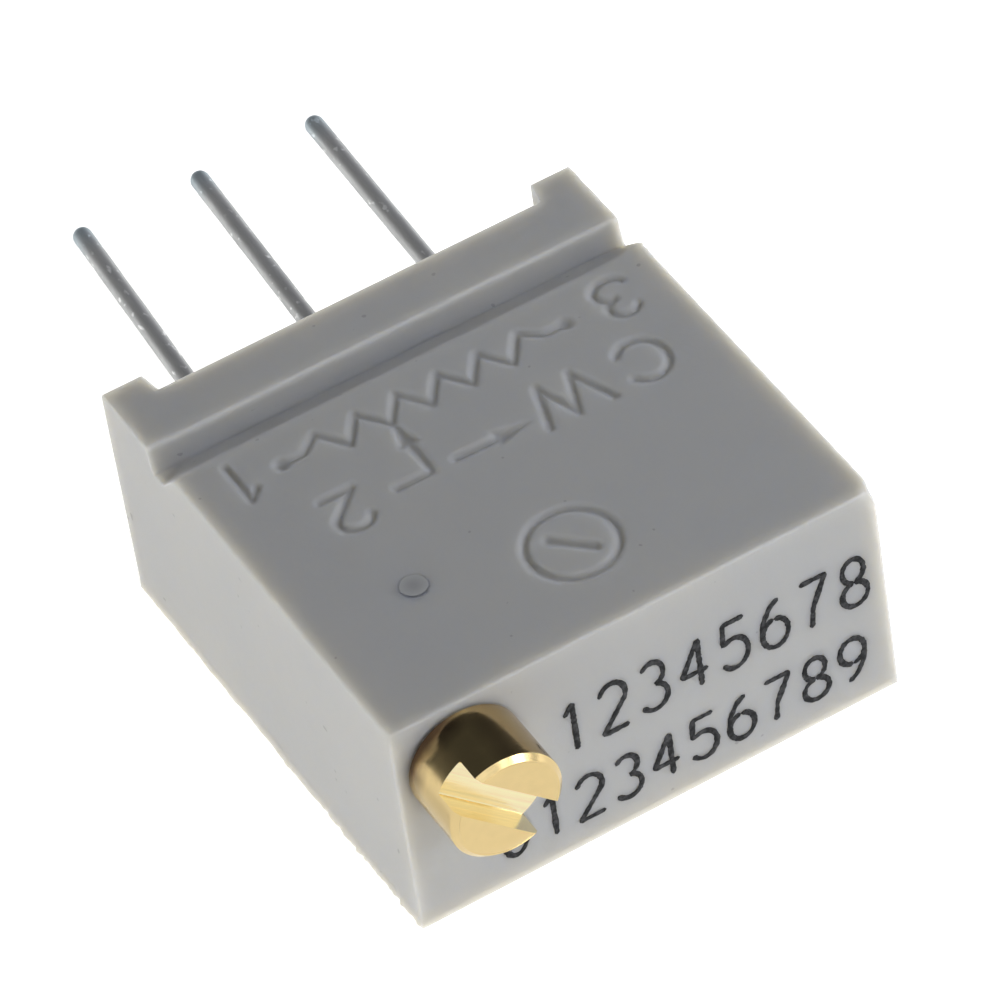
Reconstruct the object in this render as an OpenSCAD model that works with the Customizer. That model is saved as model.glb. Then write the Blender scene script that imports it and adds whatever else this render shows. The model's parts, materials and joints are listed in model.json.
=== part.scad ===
// Multi-turn trimmer potentiometer, 3/8 inch square, top adjustment.
// It lies on its back face: X runs across the housing, +Y points out along the
// leads and +Z out of the marked face. The origin is the centre of the back face.

/* [Housing] */
// Width of the housing
body_w = 9.53; // [9.4:0.01:10.2]
// Length from the screw face to the ends of the standoffs
body_l = 10.03; // [9.95:0.01:10.8]
// Thickness from the back face to the marked face
body_t = 4.83; // [4.8:0.01:5.3]
// Radius along the outer edges
edge_r = 0.08; // [0.06:0.01:0.16]
// Height of the standoffs above the lead side
foot_h = 0.48; // [0.3:0.01:0.6]
// Width of the left standoff at its root
foot_w = 0.88; // [0.6:0.01:1.1]
// How much narrower a standoff is at its end
foot_draft = 0.06; // [0:0.01:0.2]
// Thickness of the side walls
side_wall = 0.6; // [0.5:0.01:0.7]
// Thickness of the back wall
back_wall = 0.75; // [0.6:0.01:0.9]
// Distance from the screw face to the substrate slot
front_wall = 1.2; // [1:0.01:1.3]
// Width of the ledges under the substrate
ledge_w = 0.5; // [0.3:0.01:0.8]
// Height of the slot's room over the substrate
slot_room = 0.36; // [0.3:0.01:0.45]
// Depth of the resin well in the lead side
well_depth = 0.57; // [0.45:0.01:0.65]
// Corner radius of the resin well
well_r = 0.3; // [0.1:0.01:0.5]

/* [Groove across the marked face] */
// Distance from the screw face to the groove's near edge
groove_near = 7.49; // [7.4:0.01:7.6]
// Depth of the groove
groove_depth = 0.59; // [0.3:0.01:0.62]
// Width of the groove's flat bottom
groove_floor = 0.08; // [0.04:0.01:0.15]
// Run of the long slope on the side of the marks
groove_slope = 0.73; // [0.5:0.01:0.8]
// Run of the steep slope on the side of the leads
groove_steep = 0.1; // [0.05:0.01:0.2]

/* [Moulded symbol] */
// Depth of the strokes in the marked face
mark_depth = 0.07; // [0.04:0.01:0.12]
// Width of the strokes
mark_w = 0.16; // [0.1:0.01:0.2]
// Distance from the screw face to the middle line of the resistor's zigzag
zigzag_set = 6.62; // [6.55:0.01:6.75]
// Distance from the left side to the zigzag's first slope
zigzag_inset = 2.17; // [2.1:0.01:2.3]
// Number of the zigzag's peaks
zigzag_peaks = 6; // [4:1:6]
// Distance from peak to peak
zigzag_pitch = 0.815; // [0.7:0.005:0.83]
// Half the zigzag's height
zigzag_rise = 0.3; // [0.2:0.01:0.35]
// Length of the straight line at each end of the zigzag
zigzag_end = 0.45; // [0.3:0.01:0.5]
// Radius of the dots at the ends of the zigzag
dot_r = 0.13; // [0.1:0.01:0.16]
// Distance from the zigzag's middle line to the wiper's line
wiper_drop = 1.7; // [1.5:0.01:1.8]
// Length of the wiper's line after its corner
wiper_run = 0.72; // [0.5:0.01:0.8]
// Gap between the wiper's corner and the arrow for turning clockwise
turn_gap = 0.45; // [0.3:0.01:0.6]
// Length of the arrow for turning clockwise
turn_l = 1.42; // [1.3:0.01:1.5]
// Length of the arrowheads
arrow_l = 0.6; // [0.4:0.01:0.7]
// Width of the arrowheads
arrow_w = 0.34; // [0.24:0.01:0.4]
// Distance from the screw face to the middle of the ring that stands for the screw
ring_mark_set = 2; // [1.9:0.01:2.1]
// Outer radius of the ring
ring_mark_r = 0.9; // [0.7:0.01:0.95]
// Length of the slot in the ring
ring_slot_l = 0.84; // [0.6:0.01:0.9]

/* [Adjustment screw] */
// Distance from the left side to the screw's axis
screw_inset = 1.28; // [1.2:0.01:1.35]
// Distance from the marked face to the screw's axis
screw_drop = 1.23; // [1.2:0.01:1.3]
// Diameter of the head
head_d = 2.15; // [1.9:0.01:2.3]
// How far the head stands out of the screw face
head_h = 1.52; // [1.2:0.01:2]
// Chamfer round the end of the head
head_chamfer = 0.1; // [0.04:0.01:0.2]
// Gap between the head and the screw face
head_gap = 0.04; // [0.02:0.01:0.1]
// Width of the screwdriver slot
slot_w = 0.68; // [0.4:0.01:0.8]
// Depth of the screwdriver slot
slot_depth = 0.58; // [0.4:0.01:0.8]
// Angle of the slot from the width direction
slot_angle = 45; // [0:5:90]
// Radius of the journal in the housing's bore
journal_r = 0.76; // [0.76:0.01:0.78]
// Radial clearance of the screw in its bearings
screw_clear = 0.03; // [0.02:0.01:0.05]
// Radius of the journal at the inner end
tail_r = 0.3; // [0.22:0.01:0.31]
// Length of the journal at the inner end
tail_l = 0.75; // [0.5:0.01:0.8]

/* [Seal and retaining pin] */
// Distance from the screw face to the middle of the ring groove
ring_set = 1.1; // [0.8:0.01:1.4]
// Section diameter of the sealing ring
ring_d = 0.28; // [0.2:0.01:0.32]
// Distance from the screw face to the retaining pin
pin_set = 2.76; // [2.5:0.01:2.78]
// Diameter of the retaining pin
pin_d = 0.5; // [0.4:0.01:0.52]
// Radius of the screw at the bottom of the pin's groove
neck_r = 0.54; // [0.5:0.01:0.56]
// Clearance between the pin and the screw's groove
pin_clear = 0.03; // [0.02:0.01:0.05]
// How far the pin reaches past the screw's axis
pin_reach = 0.6; // [0.3:0.01:0.7]
// How far the pin's end lies under the marked face
pin_sink = 0.04; // [0:0.01:0.1]

/* [Worm drive] */
// Gear module
gear_module = 0.19; // [0.185:0.001:0.192]
// Teeth on the worm wheel
teeth = 30; // [29:1:30]
// Pitch radius of the worm
worm_pitch_r = 0.635; // [0.62:0.005:0.64]
// Height of the worm's thread above its pitch line
worm_addendum = 0.12; // [0.1:0.005:0.12]
// Height of the wheel's teeth above their pitch line
wheel_addendum = 0.14; // [0.1:0.005:0.14]
// Gap between a tooth's tip and the root that it runs in
tip_gap = 0.05; // [0.03:0.005:0.06]
// Share of the pitch that a tooth takes up
tooth_share = 0.45; // [0.42:0.005:0.46]
// Flank angle of the teeth
flank_angle = 20; // [14.5:0.5:22]
// Length of the worm's thread
worm_l = 2.8; // [2:0.1:2.8]
// Distance from the screw face to the wheel's axis
wheel_set = 4.85; // [4.8:0.01:4.9]
// Thickness of the toothed rim
wheel_t = 0.6; // [0.5:0.01:0.62]
// Width of the rim that stands round the wheel's recess
wheel_rim = 0.4; // [0.3:0.01:0.6]
// Gap round the wheel in its pocket
wheel_gap = 0.06; // [0.04:0.01:0.08]

/* [Wiper carrier] */
// Radius of the carrier under the wheel
carrier_r = 2; // [1.8:0.01:2.1]
// Thickness of the carrier
carrier_t = 0.45; // [0.4:0.01:0.5]
// Radius of the wheel's stub shaft
stub_r = 0.55; // [0.45:0.01:0.6]
// Running clearance of the stub shaft in the substrate
stub_clear = 0.04; // [0.02:0.01:0.06]
// How far the stub shaft reaches below the substrate
stub_reach = 0.15; // [0.05:0.01:0.3]
// Outer radius of the stop lug
lug_r = 2.6; // [2.4:0.01:2.7]
// Half the angle that the stop lug covers
lug_half = 20; // [10:0.5:20]
// Inner radius that the housing's stop reaches to
stop_r = 2.2; // [2.15:0.01:2.4]
// Width of the housing's stop
stop_w = 0.6; // [0.4:0.01:0.6]
// Clearance above and below the housing's stop
stop_clear = 0.05; // [0.02:0.01:0.08]
// Thickness of the wiper's sheet
wiper_t = 0.1; // [0.06:0.01:0.12]
// Outer radius of the wiper's ring
wiper_r = 1.1; // [0.9:0.01:1.2]
// Width of one wiper finger
finger_w = 0.14; // [0.1:0.01:0.2]
// Gap between two wiper fingers
finger_gap = 0.06; // [0.04:0.01:0.1]
// Height of a finger's upturned toe
toe_h = 0.15; // [0.08:0.01:0.18]
// Gap between a finger's tip and the print under it
contact_gap = 0.02; // [0.01:0.005:0.04]

/* [Resistance element] */
// Height of the leads' axis above the back face
lead_rise = 2.25; // [2.15:0.01:2.3]
// Thickness of the ceramic substrate
substrate_t = 0.635; // [0.5:0.005:0.64]
// Gap between the substrate and the sides of its slot
substrate_gap = 0.05; // [0.02:0.01:0.1]
// Thickness of the printed layers
print_t = 0.02; // [0.01:0.005:0.03]
// Radius of the middle of the resistive track
track_r = 2.45; // [2.4:0.01:2.55]
// Width of the resistive track
track_w = 0.5; // [0.3:0.01:0.6]
// Half the angle that the resistive track covers
track_half = 152; // [145:1:155]
// Radius of the middle of the collector ring
collector_r = 1.6; // [1.5:0.01:1.7]
// Width of the collector ring
collector_w = 0.5; // [0.3:0.01:0.6]
// Width of the pad under each lead
pad_w = 0.9; // [0.7:0.01:1.1]
// Length of the pad under each lead
pad_l = 0.85; // [0.7:0.01:0.9]
// Distance from a pad to the substrate's edge
pad_margin = 0.12; // [0.05:0.01:0.2]
// Width of the conductor from the collector ring to its pad
strip_w = 0.4; // [0.3:0.01:0.6]
// Angle of the track that each end's conductor covers
end_lap = 6; // [4:0.5:8]

/* [Leads] */
// Diameter of a lead outside the housing
lead_d = 0.38; // [0.3:0.01:0.45]
// Depth of the flats coined along the buried stretch of a lead
coin_t = 0.03; // [0.01:0.005:0.04]
// Spacing of the leads
lead_pitch = 2.54; // [2.5:0.01:2.54]
// Length of the leads past the standoffs
lead_l = 6.54; // [3:0.01:12]
// Sideways lean of each lead, in degrees
lead_lean = [3.5, 2.9, 2];
// Distance from the near end of a pad to the end of its lead
lead_inset = 0.12; // [0.05:0.01:0.2]
// Thickness of the solder over a lead
solder_t = 0.13; // [0.08:0.01:0.18]
// Distance from the standoffs' roots to the resin's surface
resin_sink = 0.15; // [0.1:0.01:0.25]
// Gap between the resin and the leads
resin_gap = 0.005; // [0.005:0.005:0.02]

/* [Hidden] */

grey_plastic = [0.55, 0.55, 0.56];
brass = [0.88, 0.76, 0.42];
over = 0.5;         // how far a cutting tool runs past what it cuts
join = 0.1;         // overlap of pieces that fuse, and of spaces that open into each other
play = 0.05;        // clearance at ends and shoulders
ring_clear = 0.01;  // clearance of the sealing ring from the bore and from its groove
solder_rim = 0.03;  // bare edge of a pad round its solder
coin_flats = 8;     // flats round the buried stretch of a lead
fine = 64;          // facets on round parts
small = 32;         // facets on small radii

left_x = -body_w / 2;
right_x = body_w / 2;
front_y = -body_l / 2;
seat_y = body_l / 2 - foot_h;

// Screw and wheel
screw_x = left_x + screw_inset;
screw_z = body_t - screw_drop;
bore_r = journal_r + screw_clear;
head_r = head_d / 2;
pin_r = pin_d / 2;
pin_x = screw_x + neck_r + pin_clear + pin_r;
pin_y = front_y + pin_set;
neck_w = pin_d + 2 * pin_clear;
ring_r = bore_r - ring_d / 2 - ring_clear;
ring_groove_r = ring_r - ring_d / 2 - ring_clear;
ring_groove_w = ring_d + 2 * play;
pitch_l = PI * gear_module;
tooth_w = pitch_l * tooth_share;
wheel_pitch_r = gear_module * teeth / 2;
wheel_x = screw_x + worm_pitch_r + wheel_pitch_r;
wheel_y = front_y + wheel_set;
wheel_z = screw_z;
wheel_tip_r = wheel_pitch_r + wheel_addendum;
wheel_root_r = wheel_pitch_r - worm_addendum - tip_gap;
worm_tip_r = worm_pitch_r + worm_addendum;
worm_root_r = worm_pitch_r - wheel_addendum - tip_gap;
worm_lead_angle = atan(pitch_l / (2 * PI * worm_pitch_r));
worm_start = wheel_set - worm_l / 2;
worm_end = wheel_set + worm_l / 2;
tail_start = worm_end + 2 * play;
pocket_r = wheel_tip_r + wheel_gap;
pocket_top = wheel_z + wheel_t / 2 + wheel_gap;
wheel_bottom = wheel_z - wheel_t / 2;
carrier_bottom = wheel_bottom - carrier_t;

// Element and leads
lead_r = lead_d / 2;
core_r = lead_r - coin_t;
flat_half = core_r * tan(180 / coin_flats);
print_top = lead_rise - core_r;
substrate_top = print_top - print_t;
substrate_bottom = substrate_top - substrate_t;
slot_half = body_w / 2 - side_wall;
slot_top = substrate_top + slot_room;
well_y = seat_y - well_depth;
resin_y = seat_y - resin_sink;
substrate_front = front_y + front_wall + substrate_gap;
substrate_rear = well_y - substrate_gap;
pad_y = substrate_rear - pad_margin - pad_l;
stub_bottom = substrate_bottom - stub_reach;
solder_top = lead_rise + core_r + solder_t;
lead_start = pad_y + lead_inset;
lead_tip_y = body_l / 2 + lead_l;

// A rectangle with round corners, centred on its own middle
module round_rect(w, h, r) {
    square([w - 2 * r, h], center = true);
    square([w, h - 2 * r], center = true);
    for (sx = [-1, 1], sy = [-1, 1])
        translate([sx * (w / 2 - r), sy * (h / 2 - r)]) circle(r = r, $fn = small);
}

// Turns a drawing's X into Y and its Y into Z, and extrudes it along X
module across(w) {
    rotate([90, 0, 90]) translate([0, 0, -w / 2]) linear_extrude(w) children();
}

// A solid of revolution about the screw's axis, drawn as [radius, distance from the
// screw face]
module on_screw(profile) {
    translate([screw_x, front_y, screw_z]) rotate([-90, 0, 0])
        rotate_extrude($fn = fine) polygon(profile);
}

// The standoffs and the lead side's recess, seen from the marked face
module plan_outline() {
    difference() {
        round_rect(body_w, body_l, edge_r);
        polygon([
            [left_x + foot_w, seat_y],
            [left_x + foot_w - foot_draft, body_l / 2 + over],
            [right_x - foot_w + foot_draft, body_l / 2 + over],
            [right_x - foot_w, seat_y],
        ]);
    }
}

// The groove's section, drawn in Y and Z
module groove_section() {
    near = front_y + groove_near;
    polygon([
        [near - over * groove_slope / groove_depth, body_t + over],
        [near + groove_slope, body_t - groove_depth],
        [near + groove_slope + groove_floor, body_t - groove_depth],
        [near + groove_slope + groove_floor + groove_steep, body_t],
        [near + groove_slope + groove_floor + groove_steep, body_t + over],
    ]);
}

// Unit vector to the left of the way from a to b
function left_of(a, b) = [a.y - b.y, b.x - a.x] / norm(b - a);

// Way from corner i of a path to the left edge of its stroke
function mitre(path, i) = let (
        before = left_of(path[max(i - 1, 0)], path[max(i, 1)]),
        after = left_of(path[min(i, len(path) - 2)], path[min(i + 1, len(path) - 1)]))
    (before + after) * mark_w / 2 / (1 + before * after);

// A stroke along a path, with mitred corners
module stroke(path) {
    last = len(path) - 1;
    polygon(concat([for (i = [0 : last]) path[i] - mitre(path, i)],
        [for (i = [last : -1 : 0]) path[i] + mitre(path, i)]));
}

// An arrowhead with its tip at the origin, pointing along +Y
module arrowhead() {
    polygon([[0, 0], [-arrow_w / 2, -arrow_l], [arrow_w / 2, -arrow_l]]);
}

// A tool that sinks a drawing into the marked face
module sunk() {
    translate([0, 0, body_t - mark_depth]) linear_extrude(mark_depth + over) children();
}

// Corners of the resistor's zigzag, along X from its first slope
function zigzag_path() = let (peak = 3 / 8 * zigzag_pitch + zigzag_rise / 6, end = (zigzag_peaks - 1) * zigzag_pitch)
    concat([[-zigzag_end, 0], [0, 0]],
        [for (i = [0 : 2 * zigzag_peaks - 2])
            [peak + i * zigzag_pitch / 2, i % 2 == 0 ? zigzag_rise : -zigzag_rise]],
        [[2 * peak + end, 0], [2 * peak + end + zigzag_end, 0]]);

// The resistor with its wiper, the arrow for turning clockwise, and a slotted ring that
// stands for the screw
module moulded_symbol() {
    path = zigzag_path();
    wiper_x = path[5].x;
    turn_x = wiper_x + turn_gap;
    translate([left_x + zigzag_inset, front_y + zigzag_set, 0]) {
        sunk() stroke(path);
        for (end = [path[0], path[len(path) - 1]]) sunk() translate(end) circle(r = dot_r, $fn = small);
        sunk() stroke([[wiper_x, -zigzag_rise - arrow_l / 2], [wiper_x, -wiper_drop],
            [wiper_x - wiper_run, -wiper_drop]]);
        sunk() translate([wiper_x, -zigzag_rise]) arrowhead();
        sunk() stroke([[turn_x, -wiper_drop], [turn_x + turn_l - arrow_l / 2, -wiper_drop]]);
        sunk() translate([turn_x + turn_l, -wiper_drop]) rotate([0, 0, -90]) arrowhead();
    }
    translate([0, front_y + ring_mark_set, 0]) {
        sunk() difference() {
            circle(r = ring_mark_r, $fn = fine);
            circle(r = ring_mark_r - mark_w, $fn = fine);
        }
        sunk() rotate([0, 0, -45]) square([ring_slot_l, 1.3 * mark_w], center = true);
    }
}

// Pocket for the wheel, with a round inner end, open towards the leads
module wheel_pocket() {
    translate([wheel_x, wheel_y, substrate_bottom]) linear_extrude(pocket_top - substrate_bottom) {
        circle(r = pocket_r, $fn = 2 * fine);
        translate([-pocket_r, 0]) square([2 * pocket_r, well_y + join - wheel_y]);
    }
}

// Slot for the substrate, the space under it between the ledges and the room over the
// solder joints
module substrate_slot() {
    y = front_y + front_wall;
    translate([-slot_half, y, substrate_bottom])
        cube([2 * slot_half, well_y + join - y, slot_top - substrate_bottom]);
    translate([-slot_half + ledge_w, y, back_wall])
        cube([2 * (slot_half - ledge_w), well_y + join - y, slot_top - back_wall]);
    translate([-lead_pitch - pad_w / 2, pad_y, substrate_top])
        cube([2 * lead_pitch + pad_w, well_y + join - pad_y, solder_top + play - substrate_top]);
}

// Well that the resin fills
module well_shape() {
    translate([0, 0, (back_wall + pocket_top) / 2]) rotate([-90, 0, 0])
        linear_extrude(seat_y + over - well_y)
            round_rect(2 * slot_half, pocket_top - back_wall, well_r);
}

// Stop that ends the wheel's travel
module travel_stop() {
    y = wheel_y - pocket_r - over;
    translate([wheel_x - stop_w / 2, y, carrier_bottom + stop_clear])
        cube([stop_w, pocket_r + over - stop_r, carrier_t - 2 * stop_clear]);
}

// Bore that the screw turns in, with its narrow blind end
module screw_bore() {
    tail_bore_r = tail_r + screw_clear;
    bottom = tail_start + tail_l + play;
    on_screw([[0, -over], [bore_r, -over], [bore_r, tail_start], [tail_bore_r, tail_start],
        [tail_bore_r, bottom], [0, bottom]]);
}

module housing() {
    color(grey_plastic) {
        difference() {
            intersection() {
                linear_extrude(body_t) plan_outline();
                across(body_w) translate([0, body_t / 2]) round_rect(body_l, body_t, edge_r);
                translate([0, body_l / 2, 0]) rotate([90, 0, 0]) linear_extrude(body_l)
                    translate([0, body_t / 2]) round_rect(body_w, body_t, edge_r);
            }
            across(body_w + 2 * over) groove_section();
            moulded_symbol();
            difference() {
                wheel_pocket();
                travel_stop();
            }
            substrate_slot();
            translate([0, well_y, 0]) well_shape();
            screw_bore();
            translate([pin_x, pin_y, screw_z - pin_reach])
                cylinder(r = pin_r, h = body_t, $fn = small);
        }
    }
}

// Cross-section of the worm: one thread whose radius falls from tip to root
function worm_radius(a) =
    let (tip_half = (tooth_w / 2 - worm_addendum * tan(flank_angle)) / pitch_l * 360,
        root_half = tip_half + (worm_tip_r - worm_root_r) * tan(flank_angle) / pitch_l * 360)
    a <= tip_half ? worm_tip_r
    : a >= root_half ? worm_root_r
    : worm_tip_r - (worm_tip_r - worm_root_r) * (a - tip_half) / (root_half - tip_half);

module worm() {
    from = worm_start - join / 2;
    length = worm_end - from;
    turns = length / pitch_l;
    start = 180 - 360 * (wheel_set - from) / pitch_l;
    points = 20;
    translate([screw_x, front_y + from, screw_z]) rotate([-90, 0, 0])
        linear_extrude(length, twist = -360 * turns, slices = round(14 * turns))
            polygon([for (i = [0 : points - 1])
                let (a = 360 * i / points, off = a > 180 ? 360 - a : a)
                worm_radius(off) * [cos(a + start), sin(a + start)]]);
}

module adjustment_screw() {
    ring_from = ring_set - ring_groove_w / 2;
    ring_to = ring_set + ring_groove_w / 2;
    neck_from = pin_set - neck_w / 2;
    neck_to = pin_set + neck_w / 2;
    color(brass) {
        difference() {
            on_screw([
                [0, -head_h], [head_r - head_chamfer, -head_h], [head_r, -head_h + head_chamfer],
                [head_r, -head_gap], [journal_r, -head_gap],
                [journal_r, ring_from], [ring_groove_r, ring_from],
                [ring_groove_r, ring_to], [journal_r, ring_to],
                [journal_r, neck_from], [neck_r, neck_from],
                [neck_r, neck_to], [journal_r, neck_to],
                [journal_r, worm_start], [0, worm_start],
            ]);
            translate([screw_x, front_y - head_h, screw_z]) rotate([0, slot_angle, 0])
                cube([head_d + over, 2 * slot_depth, slot_w], center = true);
        }
        worm();
        on_screw([[0, wheel_set], [tail_r, wheel_set], [tail_r, tail_start + tail_l],
            [0, tail_start + tail_l]]);
    }
}

module sealing_ring() {
    color("dimgray") translate([screw_x, front_y + ring_set, screw_z]) rotate([-90, 0, 0])
        rotate_extrude($fn = fine) translate([ring_r, 0]) circle(r = ring_d / 2, $fn = small);
}

module retaining_pin() {
    color("gray") translate([pin_x, pin_y, screw_z - pin_reach])
        cylinder(r = pin_r, h = body_t - pin_sink - screw_z + pin_reach, $fn = small);
}

// One tooth as [radius, angle] corners about its own middle
function tooth_corners(middle) =
    let (tip = (tooth_w / 2 - wheel_addendum * tan(flank_angle)) / wheel_tip_r * 180 / PI,
        root = (tooth_w / 2 + (wheel_pitch_r - wheel_root_r) * tan(flank_angle))
            / wheel_root_r * 180 / PI)
    [[wheel_root_r, middle - root], [wheel_tip_r, middle - tip],
     [wheel_tip_r, middle + tip], [wheel_root_r, middle + root]];

module toothed_rim() {
    twist = wheel_t * tan(worm_lead_angle) / wheel_pitch_r * 180 / PI;
    translate([0, 0, wheel_bottom]) rotate([0, 0, -twist / 2])
        linear_extrude(wheel_t, twist = -twist, slices = 3)
            polygon([for (i = [0 : teeth - 1], c = tooth_corners(180 + i * 360 / teeth))
                c[0] * [cos(c[1]), sin(c[1])]]);
}

// A sector of a ring from one angle to the other
module ring_sector(r_in, r_out, from, to) {
    steps = max(2, ceil((to - from) / 6));
    difference() {
        intersection() {
            circle(r = r_out, $fn = 2 * fine);
            polygon(concat([[0, 0]], [for (i = [0 : steps])
                let (a = from + (to - from) * i / steps) 2 * r_out * [cos(a), sin(a)]]));
        }
        circle(r = r_in, $fn = 2 * fine);
    }
}

module worm_wheel() {
    recess = wheel_t / 3;
    color("ivory") translate([wheel_x, wheel_y, 0]) {
        difference() {
            toothed_rim();
            translate([0, 0, wheel_bottom + wheel_t - recess]) difference() {
                cylinder(r = wheel_root_r - wheel_rim, h = over, $fn = fine);
                cylinder(r = 2 * stub_r, h = over, $fn = fine);
            }
        }
        translate([0, 0, carrier_bottom]) {
            cylinder(r = carrier_r, h = carrier_t, $fn = fine);
            linear_extrude(carrier_t)
                ring_sector(carrier_r - join, lug_r, 90 - lug_half, 90 + lug_half);
        }
        translate([0, 0, stub_bottom])
            cylinder(r = stub_r, h = carrier_bottom - stub_bottom, $fn = fine);
    }
}

// Bent wiper finger seen from its side: it drops from the ring to the print and ends
// in an upturned toe
module finger_profile(reach) {
    top = carrier_bottom;
    tip = print_top + contact_gap;
    heel = wiper_r - join;
    bend = wiper_r + wiper_t / 2;
    flat = 0.6 * wiper_t;
    polygon([
        [heel, top - wiper_t], [bend, top - wiper_t],
        [reach - flat, tip], [reach + flat, tip], [reach + flat + wiper_t, tip + toe_h],
        [reach + wiper_t, tip + toe_h + wiper_t / 3], [reach, tip + wiper_t],
        [bend + flat, top], [heel, top],
    ]);
}

// A comb of fingers towards one angle
module wiper_fingers(reach, count, angle) {
    step = finger_w + finger_gap;
    rotate([0, 0, angle]) for (i = [0 : count - 1])
        translate([0, (i - (count - 1) / 2) * step + finger_w / 2, 0]) rotate([90, 0, 0])
            linear_extrude(finger_w) finger_profile(reach);
}

module wiper_contact() {
    color("gold") translate([wheel_x, wheel_y, 0]) {
        translate([0, 0, carrier_bottom - wiper_t]) difference() {
            cylinder(r = wiper_r, h = wiper_t, $fn = fine);
            translate([0, 0, -over]) cylinder(r = stub_r + stub_clear, h = 2 * over, $fn = fine);
        }
        wiper_fingers(track_r, 3, -90);
        wiper_fingers(collector_r, 2, 90);
    }
}

module ceramic_substrate() {
    color("white") difference() {
        translate([-slot_half + substrate_gap, substrate_front, substrate_bottom])
            cube([2 * (slot_half - substrate_gap), substrate_rear - substrate_front, substrate_t]);
        translate([wheel_x, wheel_y, substrate_bottom - over])
            cylinder(r = stub_r + stub_clear, h = substrate_t + 2 * over, $fn = fine);
    }
}

// Lays a printed layer on the substrate
module printed() {
    translate([0, 0, substrate_top]) linear_extrude(print_t) children();
}

module resistive_track() {
    color("dimgray") printed() translate([wheel_x, wheel_y])
        ring_sector(track_r - track_w / 2, track_r + track_w / 2, -90 - track_half, -90 + track_half);
}

module pad(x) {
    translate([x - pad_w / 2, pad_y]) square([pad_w, pad_l]);
}

module collector_print() {
    color("silver") printed() {
        difference() {
            union() {
                translate([wheel_x, wheel_y]) circle(r = collector_r + collector_w / 2, $fn = fine);
                translate([wheel_x - strip_w / 2, wheel_y])
                    square([strip_w, pad_y + join - wheel_y]);
                pad(0);
            }
            translate([wheel_x, wheel_y]) circle(r = collector_r - collector_w / 2, $fn = fine);
        }
    }
}

// Conductor from one end of the track to its lead's pad
module end_print(side) {
    from = side > 0 ? -90 + track_half : -90 - track_half;
    to = from + side * end_lap;
    track_out = track_r + track_w / 2;
    bridge = [
        [wheel_x, wheel_y] + track_r * [cos(to), sin(to)],
        [wheel_x, wheel_y] + track_out * [cos(from), sin(from)],
        [side * (lead_pitch + strip_w / 2), pad_y + join],
        [side * (lead_pitch - strip_w / 2), pad_y + join],
    ];
    color("silver") printed() {
        translate([wheel_x, wheel_y])
            ring_sector(track_r - track_w / 2, track_out, min(from, to), max(from, to));
        polygon(side > 0 ? bridge : [bridge[3], bridge[2], bridge[1], bridge[0]]);
        pad(side * lead_pitch);
    }
}

// Points of a half-ball's section, from the outside in, or from the inside out for the
// end that faces back
function ball_end(r, at, back = false) =
    [for (i = [0 : 8]) let (a = back ? -90 + 90 * i / 8 : 90 * i / 8)
        [r * cos(a), at + (back ? r : -r) + r * sin(a)]];

// A solid of revolution about +Y, drawn as [radius, distance along Y]
module along_y(profile) {
    rotate([-90, 0, 0]) rotate_extrude($fn = small) polygon(profile);
}

// Places children on a lead's own axis, with the origin where it leaves the housing
module on_lead(i) {
    translate([(i - 1) * lead_pitch, seat_y, lead_rise]) rotate([0, 0, -lead_lean[i]]) children();
}

// A bar along +Y with the flats of the buried stretch, whose middles lie at the given reach
module coined_bar(reach, from, to) {
    translate([0, from, 0]) rotate([-90, 0, 0]) rotate([0, 0, 180 / coin_flats])
        cylinder(r = reach / cos(180 / coin_flats), h = to - from, $fn = coin_flats);
}

module lead(i) {
    round_from = -resin_sink / 3;
    color("silver") on_lead(i) {
        along_y(concat([[0, round_from], [lead_r, round_from]],
            ball_end(lead_r, (lead_tip_y - seat_y) / cos(lead_lean[i]))));
        coined_bar(core_r, lead_start - seat_y, round_from + join);
    }
}

module solder_joint(i) {
    from = pad_y + solder_rim - seat_y;
    to = pad_y + pad_l - solder_rim - seat_y;
    solder_r = core_r + solder_t;
    // A round end towards the wheel, and a cone that runs out along the lead
    color("lightgray") on_lead(i) difference() {
        along_y(concat(ball_end(solder_r, from, back = true), [[solder_r, to - solder_r], [0, to]]));
        translate([-pad_w, from - over, print_top - lead_rise - over]) cube([2 * pad_w, pad_l + 2 * over, over]);
        // The lead's bed: its upper flats, with straight sides down to the pad
        translate([0, to + over, 0]) rotate([90, 0, 0]) linear_extrude(to + over + seat_y - lead_start)
            polygon([[-core_r, -over], [core_r, -over], [core_r, flat_half], [flat_half, core_r],
                [-flat_half, core_r], [-core_r, flat_half]]);
    }
}

module resin_seal() {
    color([0.62, 0.6, 0.52]) difference() {
        intersection() {
            translate([0, well_y, 0]) well_shape();
            translate([-body_w, well_y, 0]) cube([2 * body_w, resin_y - well_y, body_t]);
        }
        for (i = [0 : 2]) on_lead(i)
            coined_bar(core_r + resin_gap, well_y - over - seat_y, resin_y + over - seat_y);
    }
}

housing();
adjustment_screw();
sealing_ring();
retaining_pin();
worm_wheel();
wiper_contact();
ceramic_substrate();
resistive_track();
collector_print();
end_print(-1);  // end_print_1
end_print(1);  // end_print_3
lead(0);  // lead_1
lead(1);  // lead_2
lead(2);  // lead_3
solder_joint(0);  // solder_joint_1
solder_joint(1);  // solder_joint_2
solder_joint(2);  // solder_joint_3
resin_seal();
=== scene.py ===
# A multi-turn trimmer potentiometer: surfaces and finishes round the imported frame.
# The dictionaries give millimetres and degrees, and makeMesh turns them into metres.
import json
import math

import bpy
import numpy as np
from mathutils import Matrix, Vector


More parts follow.
